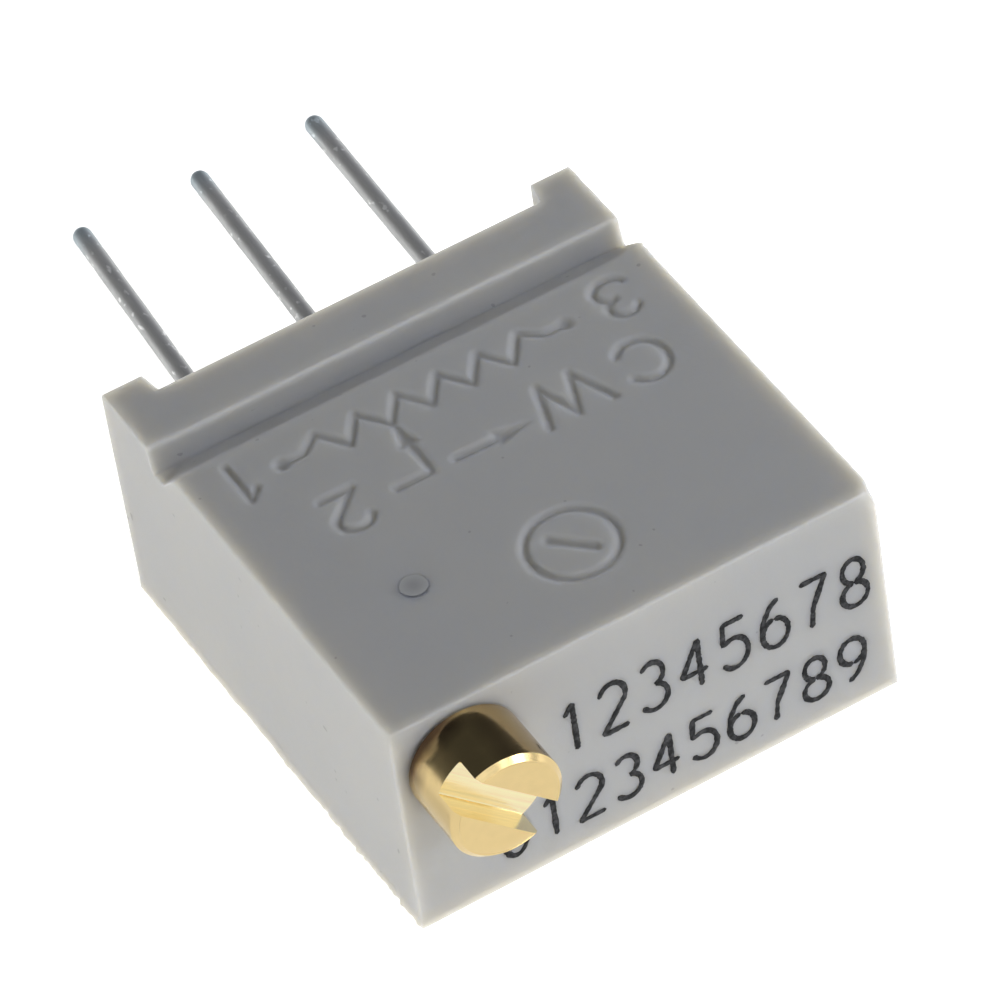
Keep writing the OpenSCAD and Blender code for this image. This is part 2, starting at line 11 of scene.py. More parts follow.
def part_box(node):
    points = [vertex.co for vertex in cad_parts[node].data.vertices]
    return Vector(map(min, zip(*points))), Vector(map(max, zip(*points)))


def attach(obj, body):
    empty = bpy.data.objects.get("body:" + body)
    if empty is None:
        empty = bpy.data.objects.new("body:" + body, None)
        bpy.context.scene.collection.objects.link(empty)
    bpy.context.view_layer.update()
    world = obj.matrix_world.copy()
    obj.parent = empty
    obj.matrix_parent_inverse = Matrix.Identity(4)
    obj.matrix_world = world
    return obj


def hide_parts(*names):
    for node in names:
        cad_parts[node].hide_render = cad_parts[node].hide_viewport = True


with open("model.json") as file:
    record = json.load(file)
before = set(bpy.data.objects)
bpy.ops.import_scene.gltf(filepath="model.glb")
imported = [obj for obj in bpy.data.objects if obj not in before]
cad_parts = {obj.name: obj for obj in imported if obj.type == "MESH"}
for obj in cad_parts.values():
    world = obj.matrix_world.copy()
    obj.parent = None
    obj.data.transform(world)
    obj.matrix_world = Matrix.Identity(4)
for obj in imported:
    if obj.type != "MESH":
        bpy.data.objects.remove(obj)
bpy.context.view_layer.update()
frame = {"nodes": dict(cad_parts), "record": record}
mm = 0.001
print("frame loaded:", len(frame["nodes"]), "nodes")


def nodeBox(name):
    # lowest and highest corner of a solid, in millimetres
    return [np.array(corner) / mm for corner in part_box(name)]


bodyLow, bodyHigh = nodeBox("housing")
leftX, frontY = bodyLow[:2]
rightX, rearY, topZ = bodyHigh
bodyWidth = rightX - leftX
pinLow, pinHigh = nodeBox("retaining_pin")
joints = {joint["name"]: joint["pos_m"] for joint in frame["record"]["behaviour"]["joints"]}
screwX, screwZ = joints["screw_turn"][0] / mm, joints["screw_turn"][2] / mm
wheelX, wheelY = joints["rotor_turn"][0] / mm, joints["rotor_turn"][1] / mm


# numpy helpers
def smooth(t):
    # 0 below 0, 1 above 1, and 3t^2 - 2t^3 between
    t = np.clip(t, 0, 1)
    return t * t * (3 - 2 * t)


def lines(*runs):
    # grid lines from runs of (start, end, steps), each run's start on the last one's end
    parts = [np.linspace(a, b, n, endpoint=False) for a, b, n in runs]
    return np.concatenate(parts + [[runs[-1][1]]])


def ripple(u, v, wave, seed, layers=7):
    # uneven field of about -1 to 1: a sum of sines along seeded directions
    rng = np.random.default_rng(seed)
    total = np.zeros(np.broadcast(u, v).shape)
    for _ in range(layers):
        turn, phase, stretch = rng.uniform(0, 2 * np.pi, 2).tolist() + [rng.uniform(0.6, 1.8)]
        k = 2 * np.pi / (wave * stretch)
        total = total + np.sin(k * (u * np.cos(turn) + v * np.sin(turn)) + phase)
    return total / math.sqrt(layers)


def gridFaces(index):
    # quads between neighbours in a grid of point numbers
    return np.stack([index[:-1, :-1], index[1:, :-1], index[1:, 1:], index[:-1, 1:]], -1).reshape(-1, 4)


def boxShell(xs, ys, zs, border):
    # points on the six sides of a box cut by the grid lines; the bottom has a border of
    # so many cells round one plain face
    nx, ny, nz = len(xs), len(ys), len(zs)
    i, j, k = np.meshgrid(np.arange(nx), np.arange(ny), np.arange(nz), indexing="ij")
    fromRim = np.minimum(np.minimum(i, nx - 1 - i), np.minimum(j, ny - 1 - j))
    shown = (fromRim == 0) | (k == nz - 1) | ((k == 0) & (fromRim <= border))
    number = np.full((nx, ny, nz), -1)
    number[shown] = np.arange(shown.sum())
    points = np.stack([xs[i[shown]], ys[j[shown]], zs[k[shown]]], -1)
    bottom = gridFaces(number[:, ::-1, 0])
    quads = [
        gridFaces(number[:, :, -1]), gridFaces(number[:, 0, :]), gridFaces(number[-1, :, :]),
        gridFaces(number[:, -1, ::-1]), gridFaces(number[0, :, ::-1]), bottom[(bottom >= 0).all(1)],
    ]
    inner = number[border:nx - border, border:ny - border, 0]
    ring = np.concatenate([inner[:-1, 0], inner[-1, :-1], inner[:0:-1, -1], inner[0, :0:-1]])
    return points, np.concatenate(quads).tolist() + [ring[::-1].tolist()]


def roundEdges(points, low, high, radius, axes=(0, 1, 2)):
    # a point's overshoot beyond the box shrunk by the radius is drawn back to the radius
    low, high = np.array(low, float), np.array(high, float)
    core = points.copy()
    for a in axes:
        core[:, a] = np.clip(points[:, a], low[a] + radius, high[a] - radius)
    out = points - core
    far = np.linalg.norm(out, axis=1)
    near = far > 1e-9
    points = points.copy()
    points[near] = core[near] + out[near] * (radius / far[near])[:, None]
    return points


def edgeLines(low, high, radius, inner, steps=4):
    # grid lines whose outer steps become even arcs of a rounded edge, with inner runs between
    arc = radius * (1 - np.tan(np.linspace(np.pi / 4, 0, steps + 1)))
    return np.concatenate([low + arc[:-1], inner, (high - arc[:-1])[::-1]])


def lathe(profile, centre, along, sides):
    # closed surface of revolution: (distance along the axis, radius) turned about it
    along = np.array(along, float) / np.linalg.norm(along)
    side = np.cross([0, 0, 1.0], along)
    side = side / np.linalg.norm(side) if np.linalg.norm(side) > 1e-6 else np.array([1.0, 0, 0])
    other = np.cross(along, side)
    turn = np.linspace(0, 2 * np.pi, sides, endpoint=False)
    at, radius = np.array(profile, float).T
    ring = np.cos(turn)[:, None] * side + np.sin(turn)[:, None] * other
    points = np.array(centre) + at[:, None, None] * along + radius[:, None, None] * ring
    return closeTube(points)


def closeTube(rings):
    # rings of points joined in a tube, with a fan to a middle point at each end;
    # each ring runs anticlockwise about the way the rings follow each other
    rows, sides = rings.shape[:2]
    number = np.arange(rows * sides).reshape(rows, sides)
    number = np.concatenate([number, number[:, :1]], 1)
    points = np.concatenate([rings.reshape(-1, 3), rings[:1].mean(1), rings[-1:].mean(1)])
    first = np.stack([np.full(sides, rows * sides), number[0, 1:], number[0, :-1]], -1)
    last = np.stack([np.full(sides, rows * sides + 1), number[-1, :-1], number[-1, 1:]], -1)
    return points, gridFaces(number)[:, ::-1].tolist() + first.tolist() + last.tolist()


def prism(outline, low, high, axis):
    # closed extrusion of a counter-clockwise outline along an axis (the next two axes hold it)
    outline = np.array(outline, float)
    rings = np.zeros((2, len(outline), 3))
    rings[:, :, (axis + 1) % 3] = outline[:, 0]
    rings[:, :, (axis + 2) % 3] = outline[:, 1]
    rings[0, :, axis], rings[1, :, axis] = low, high
    n = len(outline)
    points = rings.reshape(-1, 3)
    faces = [[a, (a + 1) % n, n + (a + 1) % n, n + a] for a in range(n)]
    return points, faces + [list(range(n))[::-1], list(range(n, 2 * n))]


def rectangle(across, up):
    # counter-clockwise outline from the two ranges
    return [[across[0], up[0]], [across[1], up[0]], [across[1], up[1]], [across[0], up[1]]]


def roundedOutline(width, height, radius, steps=6):
    # a rectangle with round corners about its own middle, counter-clockwise
    turn = np.linspace(0, np.pi / 2, steps + 1)
    corners = [(1, 1), (-1, 1), (-1, -1), (1, -1)]
    parts = []
    for number, (a, b) in enumerate(corners):
        angle = turn + number * np.pi / 2
        middle = np.array([a * (width / 2 - radius), b * (height / 2 - radius)])
        parts.append(middle + radius * np.stack([np.cos(angle), np.sin(angle)], -1))
    return np.concatenate(parts)


# mesh and piece helpers
def addObject(name, data):
    piece = bpy.data.objects.new(name, data)
    bpy.context.scene.collection.objects.link(piece)
    return piece


def makeMesh(name, points, faces, materials=(), flat=False):
    mesh = bpy.data.meshes.new(name)
    mesh.from_pydata((np.asarray(points) * mm).tolist(), [], [list(map(int, f)) for f in faces])
    mesh.validate()
    for material in materials:
        mesh.materials.append(material)
    mesh.polygons.foreach_set("use_smooth", [not flat] * len(mesh.polygons))
    return addObject(name, mesh)


def dress(piece, body, slotName, *nodes, sharp=None):
    # the shading breaks at edges steeper than sharp
    if sharp:
        piece.data.set_sharp_from_angle(angle=math.radians(sharp))
    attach(piece, body)
    if nodes:
        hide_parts(*nodes)


def cutOut(piece, *tools):
    # cuts each tool out of the piece in turn; the tools are used up
    for tool in tools:
        change = piece.modifiers.new("cut", "BOOLEAN")
        change.operation, change.solver, change.object = "DIFFERENCE", "MANIFOLD", tool
        graph = bpy.context.evaluated_depsgraph_get()
        mesh = bpy.data.meshes.new_from_object(piece.evaluated_get(graph))
        piece.modifiers.clear()
        piece.data = mesh
        bpy.data.objects.remove(tool)
    return piece


# node helpers
def setInputs(tree, node, values):
    # links each socket among the values and sets the other values as constants
    for key, value in dict(values).items():
        if isinstance(value, bpy.types.NodeSocket):
            tree.links.new(value, node.inputs[key])
        else:
            node.inputs[key].default_value = value


def addNode(tree, kind, values=(), **settings):
    # kind is the type's name after ShaderNode
    node = tree.nodes.new("ShaderNode" + kind)
    for key, value in settings.items():
        setattr(node, key, value)
    setInputs(tree, node, values)
    return node


def shader(name):
    material = bpy.data.materials.new(name)
    material.use_nodes = True
    tree = material.node_tree
    return material, tree, tree.nodes["Principled BSDF"]


def calculate(tree, operation, *values):
    return addNode(tree, "Math", dict(enumerate(values)), operation=operation).outputs[0]


def vectorNode(tree, operation, *values):
    return addNode(tree, "VectorMath", dict(enumerate(values)), operation=operation)


def mixColours(tree, first, second, weight=1.0, blend="MIX"):
    values = {0: weight, 6: first, 7: second}
    return addNode(tree, "Mix", values, data_type="RGBA", blend_type=blend).outputs[2]


def place(tree, scale=(1, 1, 1), turn=(0, 0, 0)):
    # object coordinates, turned, in millimetres times the scale
    turned = addNode(tree, "Mapping", {
        "Vector": addNode(tree, "TexCoord").outputs["Object"],
        "Rotation": tuple(math.radians(t) for t in turn)})
    size = tuple(s / mm for s in scale)
    return addNode(tree, "Mapping", {"Vector": turned.outputs[0], "Scale": size}).outputs[0]


def noise(tree, where, scale, detail=4, roughness=0.55):
    # scale is in waves per millimetre
    return addNode(tree, "TexNoise", {
        "Vector": where, "Scale": scale, "Detail": detail, "Roughness": roughness}).outputs[0]


def ramp(tree, value, low, high, colourLow, colourHigh):
    node = addNode(tree, "ValToRGB", {0: value})
    node.color_ramp.elements[0].position, node.color_ramp.elements[1].position = low, high
    node.color_ramp.elements[0].color = (*colourLow, 1)
    node.color_ramp.elements[1].color = (*colourHigh, 1)
    return node.outputs[0]


def level(tree, value, low, high, fromLow=0.3, fromHigh=0.7):
    return addNode(tree, "MapRange", {
        "Value": value, "From Min": fromLow, "From Max": fromHigh,
        "To Min": low, "To Max": high}).outputs[0]


def bump(tree, height, depth, **under):
    # depth in millimetres; under may hold the Normal of a coarser bump
    values = {"Height": height, "Distance": depth * mm, **under}
    return addNode(tree, "Bump", values).outputs[0]


def tint(colour, factor):
    return tuple(min(1.0, c * factor) for c in colour)


# finishes
def plainFinish(name, colour, rough, metal=0.0, grain=12.0, spread=0.08, relief=0.002, stretch=(1, 1, 1)):
    # one finish with a cloudy colour, an uneven sheen and a fine grain
    material, tree, out = shader(name)
    where = place(tree, stretch)
    cloud = noise(tree, where, grain / 6)
    fine = noise(tree, where, grain, 6)
    setInputs(tree, out, {
        "Base Color": ramp(tree, cloud, 0.3, 0.7, tint(colour, 1 - spread), tint(colour, 1 + spread)),
        "Roughness": level(tree, fine, rough - 0.06, rough + 0.06),
        "Normal": bump(tree, fine, relief), "Metallic": metal})
    return material


plasticLook = {
    "colour": (0.392, 0.394, 0.397), "warm": (0.408, 0.406, 0.400), "cloud": 0.35,
    "scatter": 1.0, "scatterDepth": 1.0, "scatterColour": (1.0, 0.9, 0.68),
    "rough": 0.62, "grain": 30.0, "relief": 0.0018, "wave": 2.2, "waveRelief": 0.007,
    # the last value darkens the middle of the pin's end as painted shade of a shallow dimple
    "speckScale": 6.0, "speckFrom": 0.84, "speckTo": 0.88, "speck": 0.75, "dimpleShade": 0.78,
}


def housingPlastic(look, name="housingPlastic", dimpleShade=None):
    # a cloudy plastic with a few dark specks, or with one darker spot (x, y, radius) of painted shade that
    # stands for a shallow dimple
    material, tree, out = shader(name)
    where = place(tree)
    fine = noise(tree, where, look["grain"], 5, 0.65)
    colours = ramp(tree, noise(tree, where, look["cloud"], 3), 0.35, 0.65, look["colour"], look["warm"])
    if dimpleShade:
        x, y, radius = dimpleShade
        # painted shade: darkest in the middle of the spot, as in a shallow dimple
        away = vectorNode(tree, "SUBTRACT", where, (x, y, 0)).outputs[0]
        away = vectorNode(tree, "MULTIPLY", away, (1, 1, 0)).outputs[0]
        far = vectorNode(tree, "LENGTH", away).outputs["Value"]
        shade = ramp(tree, far, radius * 0.2, radius, (look["dimpleShade"],) * 3, (1, 1, 1))
    else:
        specks = noise(tree, where, look["speckScale"], 0)
        shade = ramp(tree, specks, look["speckFrom"], look["speckTo"], (1, 1, 1), (look["speck"],) * 3)
    waves = bump(tree, noise(tree, where, look["wave"], 3), look["waveRelief"])
    setInputs(tree, out, {
        "Base Color": mixColours(tree, colours, shade, blend="MULTIPLY"),
        "Roughness": level(tree, fine, look["rough"] - 0.05, look["rough"] + 0.05),
        "Normal": bump(tree, fine, look["relief"], Normal=waves),
        "Subsurface Weight": look["scatter"], "Subsurface Radius": look["scatterColour"],
        "Subsurface Scale": look["scatterDepth"] * mm})
    return material


brassLook = {
    "colour": (0.80, 0.61, 0.295), "milled": (0.955, 0.825, 0.51), "rough": 0.17,
    "ringPitch": 0.045, "relief": 0.0012, "streaks": 0.1, "streakTurn": -45,
    # this colour darkens the brass next to the housing: partly tarnish, partly painted contact shade
    "tarnishAndShade": (0.22, 0.18, 0.22), "tarnishShadeFrom": 0.55, "tarnishShadeTo": 0.15, "tarnishShadeSide": 135,
    "waver": 0.5, "dull": 0.55, "dullSide": 35, "dullTo": 1.4,
}


def towards(tree, where, degrees, low, high):
    # 0 to 1 as the offset from the screw's axis along a direction goes from low to high
    side = math.radians(degrees)
    away = vectorNode(tree, "SUBTRACT", where, (screwX, 0, screwZ)).outputs[0]
    facing = vectorNode(tree, "DOT_PRODUCT", away, (math.cos(side), 0, math.sin(side)))
    return level(tree, facing.outputs["Value"], 0, 1, low, high)


def turnedBrass(look, milled=False):
    # turned faces carry fine rings about the axis and a brown darkening towards the housing,
    # partly tarnish and partly painted contact shade, and the milled slot has lines along its run
    material, tree, out = shader("milledBrass" if milled else "turnedBrass")
    where = place(tree)
    if milled:
        turned = place(tree, turn=(0, look["streakTurn"], 0))
        streak = addNode(tree, "Mapping", {"Vector": turned, "Scale": (0.4, 16.0, 16.0)})
        fine = noise(tree, streak.outputs[0], 1.0, 4, 0.65)
        base, spread, relief = look["milled"], look["streaks"], look["relief"] * 2
    else:
        fine = noise(tree, place(tree, (0.25, 1, 0.25)), 1 / look["ringPitch"], 3)
        base, spread, relief = look["colour"], look["streaks"] / 4, look["relief"]
    cloud = noise(tree, where, 2.0, 3)
    streaked = ramp(tree, fine, 0.3, 0.7, tint(base, 1 - spread), tint(base, 1 + spread / 3))
    # the tarnish and painted contact shade end in a wavy line
    reach = addNode(tree, "SeparateXYZ", {0: where}).outputs["Y"]
    wavy = calculate(tree, "MULTIPLY_ADD", noise(tree, where, 1.1, 3), look["waver"], reach)
    middle = frontY + look["waver"] / 2
    tarnishAndShade = level(tree, wavy, 0, 1, middle - look["tarnishShadeFrom"], middle - look["tarnishShadeTo"])
    tarnishAndShade = calculate(tree, "MULTIPLY", tarnishAndShade, towards(tree, where, look["tarnishShadeSide"], 0.55, 0.95))
    # the other side is a little darker all along, up to the chamfer
    end = frontY - look["dullTo"]
    dull = level(tree, reach, 0, look["dull"], end - 0.02, end + 0.02)
    dull = calculate(tree, "MULTIPLY", towards(tree, where, look["dullSide"], 0.55, 0.8), dull)
    mask = calculate(tree, "MAXIMUM", tarnishAndShade, dull)
    setInputs(tree, out, {
        # the base colour is darkened by the tarnish and the painted contact shade near the housing
        "Base Color": mixColours(tree, streaked, (*look["tarnishAndShade"], 1), mask, "MULTIPLY"),
        "Roughness": level(tree, cloud, look["rough"] - 0.04, look["rough"] + 0.08),
        "Normal": bump(tree, fine, relief), "Metallic": 1.0})
    return material


wireLook = {
    "dull": (0.50, 0.505, 0.51), "bright": (0.66, 0.665, 0.665), "rough": 0.48, "relief": 0.002,
    "fleck": (1.0, 1.0, 1.0), "tip": (0.82, 0.93, 1.0), "tipFrom": 10.7, "tipTo": 11.4,
}


def tinnedWire(look):
    # dull tin with streaks along the wire, a few bright flecks and a bluer cut end
    material, tree, out = shader("tinnedWire")
    streak = noise(tree, place(tree, (1, 0.12, 1)), 9.0, 4, 0.6)
    colours = ramp(tree, streak, 0.3, 0.7, look["dull"], look["bright"])
    flecks = level(tree, noise(tree, place(tree, (1, 0.6, 1)), 7.0, 2, 0.5), 0, 1, 0.62, 0.7)
    colours = mixColours(tree, colours, (*look["fleck"], 1), flecks)
    alongWire = addNode(tree, "SeparateXYZ", {0: place(tree)}).outputs["Y"]
    atTip = level(tree, alongWire, 0, 1, look["tipFrom"], look["tipTo"])
    setInputs(tree, out, {
        "Base Color": mixColours(tree, colours, (*look["tip"], 1), atTip, "MULTIPLY"),
        "Roughness": level(tree, streak, look["rough"] + 0.05, look["rough"] - 0.08),
        "Normal": bump(tree, streak, look["relief"]), "Metallic": 0.7})
    return material


inkLook = {
    "solid": (0.01, 0.0105, 0.0115), "worn": (0.1, 0.1, 0.105), "wornFrom": 0.42, "wornTo": 0.8,
    "sheen": 0.15, "relief": 0.002,
}


def printedInk(look):
    # dark ink that is thin in places
    material, tree, out = shader("printedInk")
    where = place(tree)
    thin = noise(tree, where, 9.0, 5, 0.7)
    setInputs(tree, out, {
        "Base Color": ramp(tree, thin, look["wornFrom"], look["wornTo"], look["solid"], look["worn"]),
        "Roughness": level(tree, thin, 0.6, 0.8), "Specular IOR Level": look["sheen"],
        "Normal": bump(tree, noise(tree, where, 30.0), look["relief"])})
    return material


housingFinish = housingPlastic(plasticLook)
brassFinish = turnedBrass(brassLook)
slotFinish = turnedBrass(brassLook, milled=True)
wireFinish = tinnedWire(wireLook)
inkFinish = printedInk(inkLook)
resinFinish = plainFinish("pottingResin", (0.42, 0.40, 0.34), 0.32, grain=5, spread=0.1, relief=0.004)
# inner pieces: the finish's name, then colour, roughness, metal, grain, spread, relief and stretch
silver = (0.66, 0.65, 0.62), 0.45, 0.9, 22, 0.08
solder = (0.6, 0.61, 0.62), 0.28, 1.0, 7, 0.08, 0.006
innerLooks = {
    "sealing_ring": ("blackRubber", (0.025, 0.025, 0.026), 0.5, 0.0, 20),
    "worm_wheel": ("naturalNylon", (0.78, 0.75, 0.66), 0.45, 0.0, 8, 0.04),
    "wiper_contact": ("wiperSpring", (0.84, 0.68, 0.42), 0.25, 1.0, 18, 0.05, 0.001, (0.2, 1, 1)),
    "ceramic_substrate": ("firedAlumina", (0.86, 0.85, 0.82), 0.5, 0.0, 16, 0.03),
    "resistive_track": ("cermetTrack", (0.045, 0.046, 0.05), 0.35, 0.0, 24, 0.15),
    "collector_print": ("silverPrintA", *silver), "end_print_1": ("silverPrintB", *silver),
    "end_print_3": ("silverPrintC", *silver), "solder_joint_1": ("solderA", *solder),
    "solder_joint_2": ("solderB", *solder), "solder_joint_3": ("solderC", *solder),
}
for nodeName, look in innerLooks.items():
    mesh = frame["nodes"][nodeName].data
    mesh.materials.clear()
    mesh.materials.append(plainFinish(*look))
print("materials made")


# strokes shared by the moulded marks and the printed numbers
def arc(x, y, rx, ry, start, end, steps=14):
    turn = np.radians(np.linspace(start, end, steps + 1))
    return np.stack([x + rx * np.cos(turn), y + ry * np.sin(turn)], -1)


def digit(number):
    # strokes of a digit in a cell 0.6 wide and 1 high, about the cell's middle
    if number == 9:
        return [-stroke for stroke in digit(6)]
    a, b = 0.3, 0.5
    two = [arc(0, 0.22, a, 0.28, 165, -25), [[-a, -b], [a, -b]]]
    three = [arc(-0.02, 0.25, 0.26, 0.25, 150, -80), arc(-0.02, -0.24, 0.31, 0.27, 80, -155)]
    five = [[[0.27, b], [-0.22, b], [-0.26, 0.07]], arc(-0.02, -0.18, 0.32, 0.32, 125, -150)]
    shapes = {
        0: [arc(0, 0, a, b, 90, 450, 28)],
        1: [[[-0.16, 0.28], [0.04, b], [0.04, -b]]],
        2: [np.concatenate(two)],
        3: [np.concatenate(three)],
        4: [[[0.12, -b], [0.12, b], [-a, -0.18], [a, -0.18]]],
        5: [np.concatenate(five)],
        6: [arc(0, -0.2, a, 0.3, 90, 450, 24), [[-0.3, -0.16], [-0.25, 0.12], [-0.07, 0.38], [0.14, b]]],
        7: [[[-a, b], [a, b], [-0.04, -0.1], [-0.1, -b]]],
        8: [arc(0, 0.25, 0.25, 0.25, -90, 270, 22), arc(0, -0.25, a, 0.25, 90, 450, 22)],
    }
    return [np.array(stroke) for stroke in shapes[number]]


marks = {
    "depth": 0.07, "width": 0.125, "soft": 0.165,
    "row1": 1.605, "row2": -0.095, "glyphHeight": 0.95, "glyphWidth": 1.05,
    "zigzagFrom": -2.595, "zigzagStep": 0.4075, "zigzagLead": 0.3556, "zigzagHeight": 0.3,
    "zigzagEnd": 0.45, "zigzagLength": 4.786, "peaks": 11, "dot": 0.13,
    "wiperX": -1.017, "wiperDrop": 1.7, "wiperRun": 0.72, "headLength": 0.6, "headHalf": 0.17,
    "turnFrom": -0.567, "turnTo": 0.853, "ringX": 0.0, "ringY": -3.015, "ringRadius": 0.82,
}


def glyph(number, x, y):
    # a digit that reads with its foot towards the leads
    size = np.array([-marks["glyphWidth"], -marks["glyphHeight"]])
    return [stroke * size + [x, y] for stroke in digit(number)]


def markStrokes():
    # every moulded stroke as (points, half width), and every filled triangle
    half, y1, y2 = marks["width"] / 2, marks["row1"], marks["row2"]
    start, rise, end = marks["zigzagFrom"], marks["zigzagHeight"], marks["zigzagEnd"]
    zigzag = [[start - end, y1], [start, y1]]
    for k in range(marks["peaks"]):
        side = rise if k % 2 == 0 else -rise
        zigzag.append([start + marks["zigzagLead"] + k * marks["zigzagStep"], y1 + side])
    zigzag += [[start + marks["zigzagLength"], y1], [start + marks["zigzagLength"] + end, y1]]
    wiperX, wiperEnd, headBase = marks["wiperX"], y1 - marks["wiperDrop"], y1 - rise - marks["headLength"]
    wiper = [[wiperX, headBase], [wiperX, wiperEnd], [wiperX - marks["wiperRun"], wiperEnd]]
    turnBase = marks["turnTo"] - marks["headLength"]
    tail = [[marks["turnFrom"], y2], [turnBase, y2]]
    letterW = [[1.13, -0.43], [1.42, 0.53], [1.73, -0.41], [2.06, 0.52], [2.42, -0.43]]
    letterC = arc(3.26, 0.03, 0.45, 0.51, 140, -140, 22)
    ringX, ringY, radius = marks["ringX"], marks["ringY"], marks["ringRadius"]
    ring = arc(ringX, ringY, radius, radius, 0, 360, 36)
    bar = radius * 0.36
    slot = [[ringX - bar, ringY + bar], [ringX + bar, ringY - bar]]
    strokes = [(path, half) for path in (zigzag, wiper, letterW, letterC, tail, ring)]
    strokes += [([zigzag[0]] * 2, marks["dot"]), ([zigzag[-1]] * 2, marks["dot"]), (slot, half * 1.3)]
    for number, x, y in ((1, -3.83, y1 + 0.04), (2, -2.66, y2 + 0.03), (3, 3.68, y1 + 0.02)):
        strokes += [(stroke, half) for stroke in glyph(number, x, y)]
    heads = [([wiperX, y1 - rise], [wiperX, headBase], marks["headHalf"]),
             ([marks["turnTo"], y2], [turnBase, y2], marks["headHalf"])]
    return strokes, heads


def strokeDistance(x, y, points):
    # distance from each (x, y) to the nearest segment of a stroke
    points = np.array(points, float)
    nearest = np.full(x.shape, 9.0)
    for a, b in zip(points[:-1], points[1:]):
        run = b - a
        size = max(run @ run, 1e-12)
        t = np.clip(((x - a[0]) * run[0] + (y - a[1]) * run[1]) / size, 0, 1)
        nearest = np.minimum(nearest, np.hypot(x - a[0] - t * run[0], y - a[1] - t * run[1]))
    return nearest


def softStep(inside):
    # 0 to 1 from outside to inside of a mark, over its soft side
    return smooth((inside + marks["soft"] / 2) / marks["soft"])


def markDepth(x, y):
    # how deep the moulded marks are, 0 to 1, with soft sides
    strokes, heads = markStrokes()
    deep = np.zeros(x.shape)
    for points, half in strokes:
        deep = np.maximum(deep, softStep(half - strokeDistance(x, y, points)))
    for tip, base, half in heads:
        run = np.array(base) - tip
        length = np.linalg.norm(run)
        run = run / length
        along = (x - tip[0]) * run[0] + (y - tip[1]) * run[1]
        across = np.abs((x - tip[0]) * run[1] - (y - tip[1]) * run[0])
        deep = np.maximum(deep, softStep(np.minimum(half * along / length - across, length - along)))
    return deep


# housing
shell = {
    "edge": 0.045, "footHeight": 0.48, "footWidth": 0.88, "footDraft": 0.06, "footRound": 0.1,
    "footReach": 1.2,
    "grooveNear": 7.3, "grooveDepth": 0.535, "slope": 0.92, "floor": 0.09, "steep": 0.1, "wallSlope": 6.0,
    "nearRound": 0.25, "grooveBlur": 0.09, "grooveFillet": 0.8, "crestRound": 0.06, "grooveFollow": 1.6,
    "notchSpread": 0.4, "notchShift": 0.33, "notchNear": 0.1,
    "endSpread": 0.4, "endNear": 0.19, "endDepth": 0.05,
    "edgeReach": 0.12, "ragged": 0.003, "burr": 0.02, "spikesAt": 7.37, "spikeSpread": 0.2,
    "flashHeight": 0.05, "flashAt": 0.08, "flashSpread": 0.06,
    "draft": 0.07, "blunt": 0.07, "bluntReach": 0.2,
}
grooveNear = frontY + shell["grooveNear"]
grooveCrest = grooveNear + shell["slope"] + shell["floor"] + shell["steep"]


def bell(far, spread):
    # 1 at no distance, and e^-(far / spread)^2 further off
    return np.exp(-((far / spread) ** 2))


def grooveDrop(x, y):
    # depth of the groove: a long slope, a narrow floor and a steep wall, blurred at its edges;
    # at the left end the floor leans towards the marks and leaves a small notch
    lean = shell["notchShift"] * bell(x - leftX, shell["notchSpread"])
    near = grooveNear + shell["notchNear"] * lean
    floorFrom = near + shell["slope"] - lean
    crest = near + shell["slope"] + shell["floor"] + shell["steep"]
    # the right end is deeper and has a steeper near side
    end = bell(x - rightX, shell["endSpread"])
    near = near + shell["endNear"] * end
    depth = shell["grooveDepth"] + shell["endDepth"] * end
    soft, blurSteps = shell["nearRound"], 7
    slope = np.zeros(x.shape)
    for shift in np.linspace(-shell["grooveBlur"], shell["grooveBlur"], blurSteps):
        down = np.clip((y + shift - near) / (floorFrom - near), 0, 1)
        slope = slope + np.where(down < soft, down ** 2 / (2 * soft), down - soft / 2)
    slope = slope / (blurSteps * (1 - soft / 2))
    # the crest starts with nearly a quarter round before the steep wall
    radius, share = shell["crestRound"], 0.97
    behind = np.clip(crest - y, 0, None)
    bend = np.clip(behind / radius, 0, share)
    wall = radius * (1 - np.sqrt(1 - bend ** 2))
    wall = (wall + shell["wallSlope"] * np.clip(behind - share * radius, 0, None)) / depth
    # a smooth minimum of the two sides: min(a, b) - k h^2 / 4, h = 1 - |a - b| / k
    k = shell["grooveFillet"]
    h = np.clip(1 - np.abs(slope - wall) / k, 0, 1)
    return depth * np.clip(np.minimum(slope, wall) - k * h * h / 4, 0, 1)


def standoffRecess(x):
    # 1 between the standoffs and 0 on them, with soft corners
    inner = rightX - shell["footWidth"] + shell["footDraft"] / 2
    return smooth((inner - np.abs(x)) / shell["footRound"] + 0.5)


